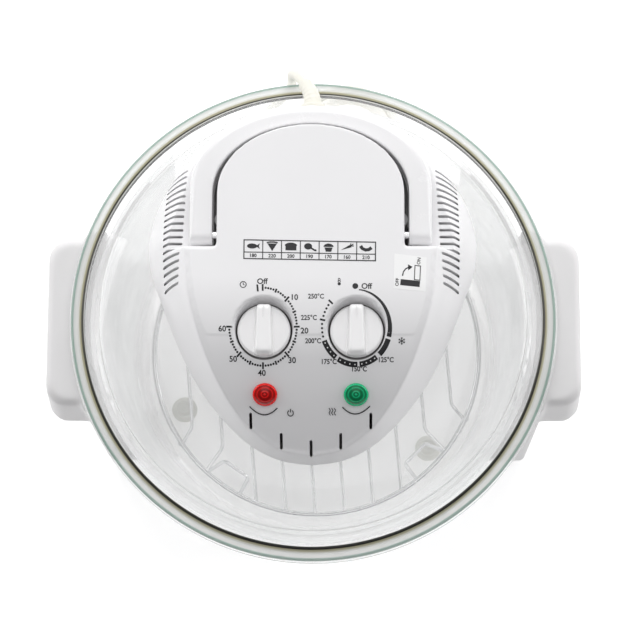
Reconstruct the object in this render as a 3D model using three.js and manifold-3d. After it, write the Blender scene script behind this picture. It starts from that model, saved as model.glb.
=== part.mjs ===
// Countertop halogen oven: glass bowl on a plastic stand, lift-off glass lid with the
// motor and heater head, folding carry handle, two dials, wire rack and mains cord.
// Millimetres, +Z up, front of the oven towards -Y, origin at the middle of the
// resting plane.
import * as THREE from 'three';
import { mergeVertices } from 'three/addons/utils/BufferGeometryUtils.js';
import Module from 'manifold-3d';

const wasm = await Module();
wasm.setup();

// ---------------------------------------------------------------- driving dimensions
const GAP = 0.3;                 // play kept between touching pieces
const ROUND = 36;                // sides of the large turned pieces

// bowl
const BOWL_R = 174.3;            // outside of the bowl's flange
const BOWL_RIM_Z = 200;          // top of the bowl's flange
const BOWL_FLOOR_Z = 26;         // underside of the bowl
const BOWL_WALL = 5;

// stand
const STAND_HALF_X = 166;        // flat outer faces of the two uprights
const GRIP_HALF_X = 193.5;       // outer ends of the side grips
const GRIP_TOP_Z = 190;
const STAND_FOOT_Z = 5;          // lower edge of the stand
const FOOT_AT = [105, 58];
const PAD_R = 113;               // silicone pads under the bowl
const PAD_ANGLES = [81, 201, 321];

// lid
const LID_R = 172.8;
const LID_HOLE_R = 80;
const LID_SEAT_Z = 228;          // flat seat round the hole, top of the glass
const LID_BOTTOM_Z = BOWL_RIM_Z + GAP;

// head
const TOP_Z = 302;               // flat top of the housing
const TOP_BEND_Y = 10;           // the top starts to fall here, towards the front
const TOP_FALL = 250;            // z = TOP_Z - (TOP_BEND_Y - y)^2 / TOP_FALL
const SHELL = 3;
const LEDGE_Z = 282;             // ledge that the folded handle lies on
const POCKET_Y = 31;             // front wall of the handle's pockets
const TONGUE_HALF_X = 63;        // raised panel between the handle's arms
const TONGUE_REAR_Y = 115.5;
const HANDLE_HALF_X = 82;
const HANDLE_INNER_X = 66.4;
const HANDLE_REAR_Y = 129.5;
const PIVOT = { y: 41, z: 290 };
const KNOB = { x: 31, y: -25.5, r: 17.8, floor: 289.6 };
const LAMP = { x: 30.6, y: -66, r: 6.8 };
const SLOT_COUNT = 18;
const FAN_R = 41;

// rack
const RACK_R = 127;
const RACK_Z = 52;
const RACK_WIRES = 10;
const RACK_PITCH = 22.5;
const RACK_TURN = THREE.MathUtils.degToRad(5);

// cord
const CORD_R = 3.5;
const GLAND = { x: 0, y: 143.5, z: 232 }; // where the cord leaves the rear wall

const deg = THREE.MathUtils.degToRad;
const V2 = (x, y) => new THREE.Vector2(x, y);
const V3 = (x, y, z) => new THREE.Vector3(x, y, z);

// ---------------------------------------------------------------- geometry helpers
// position-only geometry with shared corners, no empty triangles, faces pointing out
function closed(geometry) {
  let g = geometry.clone();
  for (const name of Object.keys(g.attributes)) if (name !== 'position') g.deleteAttribute(name);
  g = mergeVertices(g, 1e-4);
  const p = g.attributes.position;
  const src = g.index.array;
  const out = [];
  let volume = 0;
  const a = V3(), b = V3(), c = V3();
  for (let i = 0; i < src.length; i += 3) {
    const [i0, i1, i2] = [src[i], src[i + 1], src[i + 2]];
    if (i0 === i1 || i1 === i2 || i0 === i2) continue;
    out.push(i0, i1, i2);
    a.fromBufferAttribute(p, i0); b.fromBufferAttribute(p, i1); c.fromBufferAttribute(p, i2);
    volume += a.dot(b.cross(c));
  }
  if (volume < 0) for (let i = 0; i < out.length; i += 3) [out[i + 1], out[i + 2]] = [out[i + 2], out[i + 1]];
  g.setIndex(out);
  return g;
}

function solid(geometry) {
  const g = closed(geometry);
  return new wasm.Manifold(new wasm.Mesh({
    numProp: 3,
    vertProperties: new Float32Array(g.attributes.position.array),
    triVerts: new Uint32Array(g.index.array),
  }));
}

function fromSolid(man) {
  const m = man.getMesh();
  const g = new THREE.BufferGeometry();
  g.setAttribute('position', new THREE.BufferAttribute(new Float32Array(m.vertProperties), 3));
  g.setIndex(new THREE.BufferAttribute(new Uint32Array(m.triVerts), 1));
  return g;
}

const join = (...parts) => parts.reduce((s, p) => s.add(p));
const cut = (first, ...tools) => tools.reduce((s, p) => s.subtract(p), first);

// closed profile of [radius, height] turned about Z
function lathe(profile, segments = ROUND) {
  const pts = profile.map(([r, z]) => V2(Math.max(r, 0), z));
  if (pts[0].x > 0 || pts[pts.length - 1].x > 0) pts.push(pts[0].clone());
  return new THREE.LatheGeometry(pts, segments).rotateX(Math.PI / 2);
}

const drum = (r, z0, z1, segments = 24, r1 = r) => lathe([[0, z0], [r, z0], [r1, z1], [0, z1]], segments);
const ring = (r0, r1, z0, z1, segments = ROUND) => lathe([[r0, z0], [r1, z0], [r1, z1], [r0, z1]], segments);

function box(x0, x1, y0, y1, z0, z1) {
  return new THREE.BoxGeometry(x1 - x0, y1 - y0, z1 - z0)
    .translate((x0 + x1) / 2, (y0 + y1) / 2, (z0 + z1) / 2);
}

// prism of a plan outline between two heights, with an optional rounded edge
function prism(outline, z0, z1, bevel = 0, bevelSegments = 2) {
  const shape = new THREE.Shape(outline.map((p) => V2(p[0], p[1])));
  if (!bevel) return new THREE.ExtrudeGeometry(shape, { depth: z1 - z0, bevelEnabled: false }).translate(0, 0, z0);
  return new THREE.ExtrudeGeometry(shape, {
    depth: z1 - z0 - 2 * bevel, bevelEnabled: true, bevelThickness: bevel, bevelSize: bevel,
    bevelOffset: -bevel, bevelSegments,
  }).translate(0, 0, z0 + bevel);
}

// skin through a stack of rings with the same number of points, capped at both ends;
// the caps may bend, their corners are joined as they lie in plan
function loft(rings) {
  const n = rings[0].length;
  const pos = [];
  rings.forEach((r) => r.forEach((p) => pos.push(p.x, p.y, p.z)));
  const index = [];
  for (let k = 0; k + 1 < rings.length; k++) {
    for (let i = 0; i < n; i++) {
      const a = k * n + i, b = k * n + (i + 1) % n, c = a + n, d = b + n;
      index.push(a, b, d, a, d, c);
    }
  }
  const cap = (offset, flip) => {
    const plan = rings[offset / n].map((p) => V2(p.x, p.y));
    for (const [a, b, c] of THREE.ShapeUtils.triangulateShape(plan, [])) {
      index.push(offset + a, offset + (flip ? c : b), offset + (flip ? b : c));
    }
  };
  cap(0, true);
  cap((rings.length - 1) * n, false);
  const g = new THREE.BufferGeometry();
  g.setAttribute('position', new THREE.Float32BufferAttribute(pos, 3));
  g.setIndex(index);
  return g;
}

// rounded rectangle, as plan points
function roundedRect(halfX, halfY, r, per = 4) {
  const pts = [];
  for (const [sx, sy, start] of [[1, 1, 0], [-1, 1, 90], [-1, -1, 180], [1, -1, 270]]) {
    for (let k = 0; k <= per; k++) {
      const t = deg(start + 90 * k / per);
      pts.push([sx * (halfX - r) + r * Math.cos(t), sy * (halfY - r) + r * Math.sin(t)]);
    }
  }
  return pts;
}

const circlePts = (r, n, from = 0, sweep = 360, cx = 0, cy = 0) =>
  Array.from({ length: n + (sweep < 360 ? 1 : 0) }, (_, k) => {
    const t = deg(from + sweep * k / n);
    return [cx + r * Math.cos(t), cy + r * Math.sin(t)];
  });

// round wire or cord along a smooth or a straight-sided path
function tube(points, r, sides = 8, steps = 0) {
  const path = steps
    ? new THREE.CatmullRomCurve3(points, false, 'centripetal')
    : Object.assign(new THREE.CurvePath(), { curves: points.slice(1).map((p, i) => new THREE.LineCurve3(points[i], p)) });
  const section = new THREE.Shape(circlePts(r, sides).map(([x, y]) => V2(x, y)));
  return new THREE.ExtrudeGeometry(section, { extrudePath: path, steps: steps || 1, bevelEnabled: false });
}

// wire through straight pieces with mitred corners
function wire(points, r, sides = 6) {
  const pos = [], index = [], n = sides;
  points.forEach((p, k) => {
    const a = k ? p.clone().sub(points[k - 1]).normalize() : null;
    const b = k + 1 < points.length ? points[k + 1].clone().sub(p).normalize() : null;
    const dir = (a && b ? a.clone().add(b) : a || b).normalize();
    const along = a || b;
    // a ring square to the piece before the corner, slid along it onto the mitre plane
    const u = Math.abs(along.z) > 0.9 ? V3(1, 0, 0) : V3(0, 0, 1);
    const e1 = u.clone().addScaledVector(along, -u.dot(along)).normalize(), e2 = along.clone().cross(e1);
    for (let i = 0; i < n; i++) {
      const t = 2 * Math.PI * i / n;
      const q = e1.clone().multiplyScalar(r * Math.cos(t)).addScaledVector(e2, r * Math.sin(t));
      q.addScaledVector(along, -q.dot(dir) / along.dot(dir)).add(p);
      pos.push(q.x, q.y, q.z);
    }
  });
  for (let k = 0; k + 1 < points.length; k++) {
    for (let i = 0; i < n; i++) {
      const a = k * n + i, b = k * n + (i + 1) % n;
      index.push(a, b, b + n, a, b + n, a + n);
    }
  }
  const end = (points.length - 1) * n;
  for (let i = 1; i + 1 < n; i++) index.push(0, i + 1, i, end, end + i, end + i + 1);
  const g = new THREE.BufferGeometry();
  g.setAttribute('position', new THREE.Float32BufferAttribute(pos, 3));
  g.setIndex(index);
  return g;
}

// ---------------------------------------------------------------- materials
const mat = (color, roughness, metalness = 0, extra = {}) =>
  () => new THREE.MeshStandardMaterial({ color, roughness, metalness, ...extra });
const abs = mat(0xe9e9eb, 0.32);
const absStand = mat(0xdddddf, 0.45);
const glass = mat(0xd8e6de, 0.05, 0, { transparent: true, opacity: 0.35 });
const steel = mat(0xc9ccd0, 0.25, 1);
const zinc = mat(0xa9adb1, 0.45, 1);
const rubber = mat(0x4b4b4d, 0.8);
const silicone = mat(0xdfe3da, 0.7);
const ceramic = mat(0xf1ece0, 0.6);
const phenolic = mat(0x2c2a29, 0.6);
const copper = mat(0xb26a3c, 0.4, 0.9);
const cordPvc = mat(0xefece2, 0.5);

// ---------------------------------------------------------------- scene graph
const oven = new THREE.Group();
const bodies = {};
for (const name of ['base', 'bowl', 'rack', 'head', 'handle', 'plunger', 'timer', 'thermostat', 'fan']) {
  bodies[name] = new THREE.Group();
}
oven.add(bodies.base, bodies.bowl);
bodies.bowl.add(bodies.rack, bodies.head);
bodies.head.add(bodies.handle, bodies.plunger, bodies.timer, bodies.thermostat, bodies.fan);

function put(body, name, shape, material, position = [0, 0, 0], rotation = [0, 0, 0]) {
  const geometry = shape.isBufferGeometry ? closed(shape) : fromSolid(shape);
  const m = new THREE.Mesh(geometry, material());
  m.name = name;
  m.position.set(...position);
  m.rotation.set(...rotation);
  bodies[body].add(m);
  return m;
}

// ================================================================ bowl
const bowlInner = [[0, 31], [116, 31], [131, 35.6], [141.2, 48], [143.2, 60], [155, 194], [156.2, BOWL_RIM_Z]];
const bowlOuter = [[0, BOWL_FLOOR_Z], [117, BOWL_FLOOR_Z], [134, 31.2], [145.6, 45.4], [148.2, 60], [159.6, 195], [BOWL_R - 1, 195], [BOWL_R, 196.2], [BOWL_R, 199], [BOWL_R - 1.2, BOWL_RIM_Z]];
put('bowl', 'glass_bowl', lathe([...bowlInner, ...bowlOuter.slice().reverse()]), glass);

// ================================================================ stand
const standEnvelope = (grow) => solid(lathe([
  [0, 15 - grow], [128 + grow * 0.6, 15 - grow], [150 + grow, 52 - grow * 0.3], [150.2 + grow, 60],
  [160.9 + grow, 190], [161.5 + grow, 260], [0, 260],
]));
const uprightY = (z) => 80 - (80 - 66) * (z - STAND_FOOT_Z) / (GRIP_TOP_Z - STAND_FOOT_Z);
function uprights(inset, z0, z1) {
  return solid(loft([z0, z1].map((z) =>
    roundedRect(STAND_HALF_X - inset, uprightY(z) - inset, 5 - inset, 2).map(([x, y]) => V3(x, y, z)))));
}
function grip(side, inset, z0, z1, chamfer) {
  const levels = chamfer ? [[z0, 0], [z1 - 4, 0], [z1, 3]] : [[z0, 0], [z1, 0]];
  return solid(loft(levels.map(([z, c]) => {
    const halfY = 60 + 8 * (GRIP_TOP_Z - z) / 35 - inset - c;
    const halfX = (GRIP_HALF_X - 1.5 * (z - 155) / 35 - 140) / 2 - inset / 2 - c / 2;
    return roundedRect(halfX, halfY, 15 - inset * 0.6, 3).map(([x, y]) => V3(side * (x + 140 + halfX), y, z));
  }).map((r) => (side < 0 ? r.reverse() : r))));
}
// between the two upright slabs the stand is a low plate, with a shallow dish in its middle
const SLAB_INNER_X = 150, PLATE_Z = 18;
const between = (halfX, z0) => solid(box(-halfX, halfX, -100, 100, z0, 300));
const dish = solid(lathe([[0, STAND_FOOT_Z], [130, STAND_FOOT_Z], [136, 30.4], [0, 30.4]]));
const dishHollow = solid(lathe([[0, -5], [126.6, -5], [131, 20], [0, 20]]));
let stand = join(uprights(0, STAND_FOOT_Z, GRIP_TOP_Z), grip(1, 0, 153, GRIP_TOP_Z, true), grip(-1, 0, 153, GRIP_TOP_Z, true));
stand = join(cut(stand, between(SLAB_INNER_X, PLATE_Z)), dish);
stand = cut(stand, standEnvelope(0));
const underside = cut(join(cut(uprights(3, -5, 148), between(SLAB_INNER_X + 3, PLATE_Z - 3)), dishHollow), standEnvelope(3));
stand = cut(stand, underside);
for (const side of [1, -1]) {
  const hollow = cut(grip(side, 3.4, 140, GRIP_TOP_Z - 3.6, false), uprights(-0.01, 100, 200), between(SLAB_INNER_X + 3, 100));
  stand = cut(stand, hollow);
}
for (const sx of [1, -1]) for (const sy of [1, -1]) {
  stand = join(stand, solid(drum(10.5, STAND_FOOT_Z, 13.5, 12).translate(sx * FOOT_AT[0], sy * FOOT_AT[1], 0)));
}
put('base', 'base_stand', stand, absStand);

const foot = lathe([[0, 0], [8.6, 0], [9.6, 1], [9.6, STAND_FOOT_Z - GAP], [0, STAND_FOOT_Z - GAP]], 12);
[[1, -1], [-1, -1], [-1, 1], [1, 1]].forEach(([sx, sy], i) =>
  put('base', `foot_${i + 1}`, foot, rubber, [sx * FOOT_AT[0], sy * FOOT_AT[1], 0]));

const pad = lathe([[0, 0], [10, 0], [10, 2.4], [7.2, 3], [7, 10.4], [0, 10.4]], 14);
PAD_ANGLES.forEach((a, i) =>
  put('base', `bowl_pad_${i + 1}`, pad, silicone, [PAD_R * Math.cos(deg(a)), PAD_R * Math.sin(deg(a)), 15 + GAP]));

// ================================================================ rack
let rack = solid(new THREE.TorusGeometry(RACK_R, 2, 6, 40));
const half = (RACK_WIRES - 1) / 2;
const reach = (x) => Math.sqrt((RACK_R - 0.5) ** 2 - x * x);
for (let i = 0; i < RACK_WIRES; i++) {
  const x = (i - half) * RACK_PITCH, s = Math.sign(x);
  const out = Math.abs(i - half) > 4 ? 11 : Math.abs(i - half) > 3 ? 13 : 0;
  const y1 = Math.abs(i - half) > 4 ? 50 : 68;
  // the two wires at each side step outwards before they meet the ring
  const pts = out
    ? [V3(x + s * out, -reach(x + s * out), 0), V3(x + s * out, -y1 - 16, 0), V3(x, -y1, 0), V3(x, y1, 0), V3(x + s * out, y1 + 16, 0), V3(x + s * out, reach(x + s * out), 0)]
    : [V3(x, -reach(x), 0), V3(x, reach(x), 0)];
  rack = join(rack, solid(wire(pts, 1.35, 5)));
}
// four legs from the ring down to the floor of the bowl
for (const a of [50, 130, 230, 310]) {
  const at = (r, d, z) => { const t = deg(a + d); return V3(r * Math.cos(t), r * Math.sin(t), z); };
  const low = 31 + GAP + 1.6 - RACK_Z;
  rack = join(rack, solid(wire([at(RACK_R, -7, 0), at(110, -6, low), at(110, 6, low), at(RACK_R, 7, 0)], 1.5, 5)));
}
put('rack', 'wire_rack', rack, steel, [0, 0, RACK_Z], [0, 0, RACK_TURN]);

// ================================================================ lid
const lidZ = (r) => LID_SEAT_Z - 17.5 * ((r - 96) / (163 - 96)) ** 1.6; // dome outside the flat seat
const domeR = [96, 112, 128, 142, 153, 162.6];
const lidTop = [[LID_HOLE_R, LID_SEAT_Z], ...domeR.map((r) => [r, lidZ(r)]), [164.6, 205.6], [LID_R - 1, 205.2], [LID_R, 204], [LID_R, LID_BOTTOM_Z]];
const lidUnder = [[156, LID_BOTTOM_Z], [153.8, LID_BOTTOM_Z - 5], [151.4, LID_BOTTOM_Z - 5], [150.6, 205.4], ...domeR.slice(0, 4).reverse().map((r) => [r, lidZ(r) - BOWL_WALL]), [LID_HOLE_R, LID_SEAT_Z - BOWL_WALL]];
put('head', 'glass_lid', lathe([...lidTop, ...lidUnder]), glass);

// ================================================================ head housing
const topZ = (y) => (y >= TOP_BEND_Y ? TOP_Z : TOP_Z - (TOP_BEND_Y - y) ** 2 / TOP_FALL);
const smooth = (a, b, t) => { const s = Math.min(1, Math.max(0, (t - a) / (b - a))); return s * s * (3 - 2 * s); };
// right-hand half of the skirt and of the upper crease, front to rear, as matched points
const skirtPts = [[0, -110], [22, -106.5], [42, -97], [60, -81], [77, -60], [90, -38], [101, -13], [109, 8], [115, 24], [118, 42], [116.5, 60], [110, 79], [98, 98], [81, 116], [60, 131], [34, 142], [0, 146]];
const creasePts = [[0, -104], [21.5, -100], [41.8, -86], [55, -70], [65.5, -50], [73, -30], [78.6, -10], [81.8, 10], [83.4, 26], [84.2, 42], [84.2, 58], [83, 74], [77.5, 92], [66, 108], [49, 121], [27, 129.5], [0, 132]];
const halfCurve = (pts, n) => {
  const c = new THREE.CatmullRomCurve3(pts.map(([x, y]) => V3(x, y, 0)), false, 'centripetal');
  return Array.from({ length: n + 1 }, (_, k) => c.getPoint(k / n));
};
const HALF_N = 18;
const mirror = (halfPts) => [...halfPts, ...halfPts.slice(1, -1).reverse().map((p) => V3(-p.x, p.y, p.z))];
const skirt = mirror(halfCurve(skirtPts, HALF_N));
const crease = mirror(halfCurve(creasePts, HALF_N));
// height of the crease: the falling top in front, easing down to the ledge behind the pockets
const creaseZ = (y) => topZ(y) - (TOP_Z - LEDGE_Z - 3) * smooth(POCKET_Y - 3, 76, y);
const SKIRT_Z = 208;
const SIDE_POWER = 1.4;
function headSkin(inset, topDrop, ledgeCap) {
  const rings = [];
  const norm = (list, i) => { // outward plan normal
    const a = list[(i + list.length - 1) % list.length], b = list[(i + 1) % list.length];
    return V3(b.y - a.y, -(b.x - a.x), 0).normalize();
  };
  const heights = inset ? [0, 0.5, 0.8, 1] : [0, 0.3, 0.6, 0.84, 1];
  for (const v of heights) {
    rings.push(skirt.map((s, i) => {
      const c = crease[i];
      const q = (1 - v ** SIDE_POWER) ** (1 / SIDE_POWER);
      const n = norm(skirt, i);
      let zc = creaseZ(c.y) - topDrop;
      if (ledgeCap && c.y > POCKET_Y - SHELL) zc = Math.min(zc, ledgeCap);
      return V3(c.x + (s.x - c.x) * q - n.x * inset, c.y + (s.y - c.y) * q - n.y * inset, SKIRT_Z + (zc - SKIRT_Z) * v);
    }));
  }
  // a small bevel along the crease
  if (!inset) {
    const last = rings[rings.length - 1];
    const inner = crease.map((c, i) => { const n = norm(crease, i); return V3(c.x - n.x * 2.2, c.y - n.y * 2.2, 0); });
    inner.forEach((p) => { p.z = creaseZ(p.y); });
    last.forEach((p) => { p.z -= 1.6; });
    rings.push(inner);
  }
  return rings;
}
// the skin is closed above by strips that run straight across, so the top bends one way only
function headBlock(inset, topDrop, ledgeCap, below) {
  const rings = headSkin(inset, topDrop, ledgeCap);
  if (below) rings.unshift(rings[0].map((p) => V3(p.x, p.y, below)));
  const n = rings[0].length;
  const g = loft(rings);
  // replace the top cap's triangles by straight strips
  const idx = Array.from(g.index.array);
  const topStart = (rings.length - 1) * n;
  const kept = [];
  for (let i = 0; i < idx.length; i += 3) {
    const t = [idx[i], idx[i + 1], idx[i + 2]];
    if (!t.every((v) => v >= topStart)) kept.push(...t);
  }
  for (let k = 0; k < n / 2; k++) {
    const r0 = topStart + k, r1 = topStart + k + 1, l0 = topStart + (n - k) % n, l1 = topStart + (n - k - 1) % n;
    if (k === 0) kept.push(r0, r1, l1);
    else if (k === n / 2 - 1) kept.push(r0, r1, l0);
    else kept.push(r0, r1, l1, r0, l1, l0);
  }
  g.setIndex(kept);
  return solid(g);
}
// rear half of an outline with straight flanks and a rounded back
function tongueOutline(halfX, rearY, frontY, bulge, n = 20) {
  const pts = [];
  const y0 = rearY - bulge;
  for (let k = 0; k <= n; k++) {
    const t = Math.PI * k / n;
    pts.push([halfX * Math.cos(t), y0 + bulge * Math.sin(t)]);
  }
  return [[halfX, frontY], ...pts, [-halfX, frontY]];
}
let head = headBlock(0, 0, 0, 0);
head = cut(head, solid(box(-150, 150, POCKET_Y, 170, LEDGE_Z, 330)));
const tongue = solid(prism(tongueOutline(TONGUE_HALF_X, TONGUE_REAR_Y, POCKET_Y - 12, 47, 16), LEDGE_Z - 12, TOP_Z, 2, 1));
head = join(head, tongue);
const outerHead = head;

// hollow inside
const room = headBlock(SHELL, SHELL, LEDGE_Z - SHELL, 190);
const tongueRoom = solid(prism(tongueOutline(TONGUE_HALF_X - SHELL, TONGUE_REAR_Y - SHELL, 12, 45, 10), 255, TOP_Z - SHELL));
head = cut(head, room, tongueRoom);
// the gap beside the panel is open to the inside, under the handle's arms
const gapOuter = solid(prism(tongueOutline(66.2, 117.2, 34, 48.5, 16), 268, LEDGE_Z + 1));
const gapInner = solid(prism(tongueOutline(63.2, 115.7, 30, 47, 16), 260, LEDGE_Z + 5));
head = cut(head, cut(gapOuter, gapInner, solid(box(-100, 100, 98, 130, 260, 290))));

// seats for the two dials: a cup under the top, then a conical well
const dials = [-1, 1].map((s) => s * KNOB.x);
for (const x of dials) {
  const cup = solid(drum(24.5, 286.1, TOP_Z, 20).translate(x, KNOB.y, 0)).intersect(outerHead);
  head = join(head, cup);
  const well = [[18.7, 0, KNOB.floor], [20.5, 2.5, TOP_Z + 2]].map(([r, dy, z]) =>
    circlePts(r, 28, 0, 360, x, KNOB.y + dy).map(([px, py]) => V3(px, py, z)));
  head = cut(head, solid(loft(well)),
    solid(drum(4.6, 270, 300, 10).translate(x, KNOB.y, 0)));
}
// lamp holes, square to the sloping front
const lampSlope = Math.atan(2 * (TOP_BEND_Y - LAMP.y) / TOP_FALL);
const lampPlace = (g, x) => g.rotateX(lampSlope).translate(x, LAMP.y, topZ(LAMP.y));
for (const s of [-1, 1]) head = cut(head, solid(lampPlace(drum(LAMP.r + 0.3, -14, 14, 16), s * LAMP.x)));
// five slots over the front edge
for (const [x, y] of [[0, -99.5], [20.2, -95], [-20.2, -95], [40.6, -82.5], [-40.6, -82.5]]) {
  head = cut(head, solid(box(x - 1, x + 1, y - 5.2, y + 5.2, 236, 292)));
}
// louvres on both flanks
for (let i = 0; i < SLOT_COUNT; i++) {
  const t = i / (SLOT_COUNT - 1);
  const y = 8 + 81 * t, xi = 89 - 4.5 * t;
  for (const s of [-1, 1]) {
    head = cut(head, solid(box(Math.min(s * xi, s * 101.5), Math.max(s * xi, s * 101.5), y - 0.95, y + 0.95, 232, 300)));
  }
}
// small vents at the rear, right-hand side
for (let i = 0; i < 6; i++) {
  const x = 25.5 + 5 * i, y = 138.3 - 0.6 * i - 0.13 * i * i, r = 0.75 + 0.14 * i;
  head = cut(head, solid(drum(r, 225, 285, 6).translate(x, y, 0)));
}
// lid clearance: the skirt's lower edge follows the glass
const lidRoof = solid(lathe([[0, 150], [175, 150], [175, 205.8], ...[...domeR].reverse().map((r) => [r, lidZ(r) + 0.5]), [0, LID_SEAT_Z + 0.5]]));
head = cut(head, lidRoof);
// holes for the handle's pins, gland opening at the rear, screw posts inside
head = cut(head, solid(drum(3.1, -70, 70, 10).rotateY(Math.PI / 2).translate(0, PIVOT.y, PIVOT.z)));
head = cut(head, solid(drum(7.2, 110, 170, 14).rotateX(-Math.PI / 2).translate(GLAND.x, 0, GLAND.z)));
const posts = [[62, -44], [-62, -44], [61, 54], [-61, 54]];
for (const [x, y] of posts) {
  const post = cut(solid(drum(5, 236.5, 300, 8).translate(x, y, 0)), solid(drum(2.1, 230, 262, 6).translate(x, y, 0)));
  head = join(head, post.intersect(outerHead));
}
put('head', 'upper_housing', head, abs);

// ================================================================ lower housing and clamp parts
let deck = solid(lathe([[14, 230.6], [90, 230.6], [90, 237.5], [88, 237.5], [88, 233.6], [14, 233.6]], 36));
for (const [x, y] of posts) {
  deck = join(deck, solid(drum(6, 230.6, 236.1, 10).translate(x, y, 0)));
  deck = cut(deck, solid(drum(2.1, 225, 245, 6).translate(x, y, 0)), solid(drum(3.9, 225, 233.1, 8).translate(x, y, 0)));
}
const CLAMPS = [30, 150, 270];
const SENSOR = [72, -13];
const onCircle = (r, a) => [r * Math.cos(deg(a)), r * Math.sin(deg(a))];
for (const a of CLAMPS) { const [x, y] = onCircle(70, a); deck = cut(deck, solid(drum(2.2, 225, 240, 6).translate(x, y, 0))); }
const TUBE_ENDS = [82, 98];
for (const a of TUBE_ENDS) { const [x, y] = onCircle(62, a); deck = cut(deck, solid(drum(6.6, 225, 240, 10).translate(x, y, 0))); }
deck = cut(deck, solid(drum(2.8, 225, 240, 8).translate(SENSOR[0], SENSOR[1], 0)));
// the deck's flange closes the head from below, out to the skirt; a gap lets the supply lead pass
let flange = solid(box(-150, 150, -150, 170, 230.6, 232.6)).intersect(headBlock(SHELL + 0.6, SHELL, LEDGE_Z - SHELL, 190));
flange = cut(flange, solid(drum(89, 225, 240, 36)), solid(box(-20, 12, 108, 170, 225, 240)));
deck = join(deck, flange);
put('head', 'lower_housing', deck, abs);

posts.forEach(([x, y], i) => put('head', `housing_screw_${i + 1}`,
  lathe([[0, 230.9], [3.4, 230.9], [3.4, 232.8], [1.55, 232.8], [1.55, 250], [0, 251.5]], 8), zinc, [x, y, 0]));

put('head', 'gasket_upper', ring(80.6, 88.5, LID_SEAT_Z + GAP, 230.3, 28), silicone);
put('head', 'gasket_lower', ring(80.6, 89.5, 220.8, LID_SEAT_Z - BOWL_WALL - GAP, 28), silicone);

let pan = solid(lathe([[12, 219], [83, 219], [83, 181], [84.4, 181], [84.4, 219], [89.5, 219], [89.5, 220.5], [12, 220.5]], 36));
for (const a of TUBE_ENDS) { const [x, y] = onCircle(62, a); pan = cut(pan, solid(drum(6.6, 210, 230, 10).translate(x, y, 0))); }
for (const a of CLAMPS) { const [x, y] = onCircle(70, a); pan = cut(pan, solid(drum(2.2, 210, 230, 6).translate(x, y, 0))); }
pan = cut(pan, solid(drum(2.8, 210, 230, 8).translate(SENSOR[0], SENSOR[1], 0)));
put('head', 'reflector_pan', pan, steel);

let wool = solid(ring(15, 78.5, 220.8, 230.2, 28));
for (const a of TUBE_ENDS) { const [x, y] = onCircle(62, a); wool = cut(wool, solid(drum(6.8, 210, 235, 10).translate(x, y, 0))); }
for (const a of CLAMPS) { const [x, y] = onCircle(70, a); wool = cut(wool, solid(drum(2.4, 210, 235, 6).translate(x, y, 0))); }
wool = cut(wool, solid(drum(2.8, 210, 235, 8).translate(SENSOR[0], SENSOR[1], 0)));
put('head', 'insulation_disc', wool, ceramic);

CLAMPS.forEach((a, i) => {
  const [x, y] = onCircle(70, a);
  put('head', `clamp_screw_${i + 1}`, lathe([[0, 216.6], [3.6, 216.6], [3.6, 218.7], [1.8, 218.7], [1.8, 236], [0, 236]], 8), zinc, [x, y, 0]);
});

// guard below the heater: a thin plate with three rows of arc slots
const guardShape = new THREE.Shape(circlePts(82.4, 36).map(([x, y]) => V2(x, y)));
for (const [r0, r1, count, fill] of [[14, 34, 6, 0.74], [42, 73, 12, 0.66]]) {
  for (let k = 0; k < count; k++) {
    const from = 360 * k / count, sweep = 360 * fill / count;
    const outer = circlePts(r1, 2, from, sweep), inner = circlePts(r0, 2, from, sweep).reverse();
    guardShape.holes.push(new THREE.Path([...outer, ...inner].map(([x, y]) => V2(x, y))));
  }
}
put('head', 'heater_guard', new THREE.ExtrudeGeometry(guardShape, { depth: 1.2, bevelEnabled: false }), steel, [0, 0, 182.2]);

// halogen tube: a ring with both ends turned up through the pan
const tubeZ = 199;
const tubePts = [];
for (let k = 0; k <= 26; k++) {
  const [x, y] = onCircle(62, TUBE_ENDS[1] + (360 - (TUBE_ENDS[1] - TUBE_ENDS[0])) * k / 26);
  tubePts.push(V3(x, y, tubeZ));
}
const endA = onCircle(62, TUBE_ENDS[1]), endB = onCircle(62, TUBE_ENDS[0]);
const tubePath = [V3(endA[0], endA[1], 215.4), V3(endA[0], endA[1], 208), ...tubePts.slice(1, -1), V3(endB[0], endB[1], 208), V3(endB[0], endB[1], 215.4)];
put('head', 'halogen_tube', tube(tubePath, 4.2, 6, 46), mat(0xf3e7d8, 0.15), [0, 0, 0]);
[endA, endB].forEach(([x, y], i) => put('head', `tube_end_${i + 1}`,
  drum(6, 215.7, 239, 10), ceramic, [x, y, 0]));
[0, 120].forEach((a, i) => {
  // spring clip: a stem from the pan with a fork under the tube
  const stem = join(solid(box(-3, 3, -4.2, -2.6, 193.2, 218.7)), solid(box(-3, 3, -4.2, 12, 217.3, 218.7)), solid(box(-3, 3, -4.2, 12, 193.2, 194.2)));
  const [x, y] = onCircle(56, a + 210);
  put('head', `tube_clip_${i + 1}`, stem, steel, [x, y, 0], [0, 0, deg(a + 210 - 90)]);
});

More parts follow.
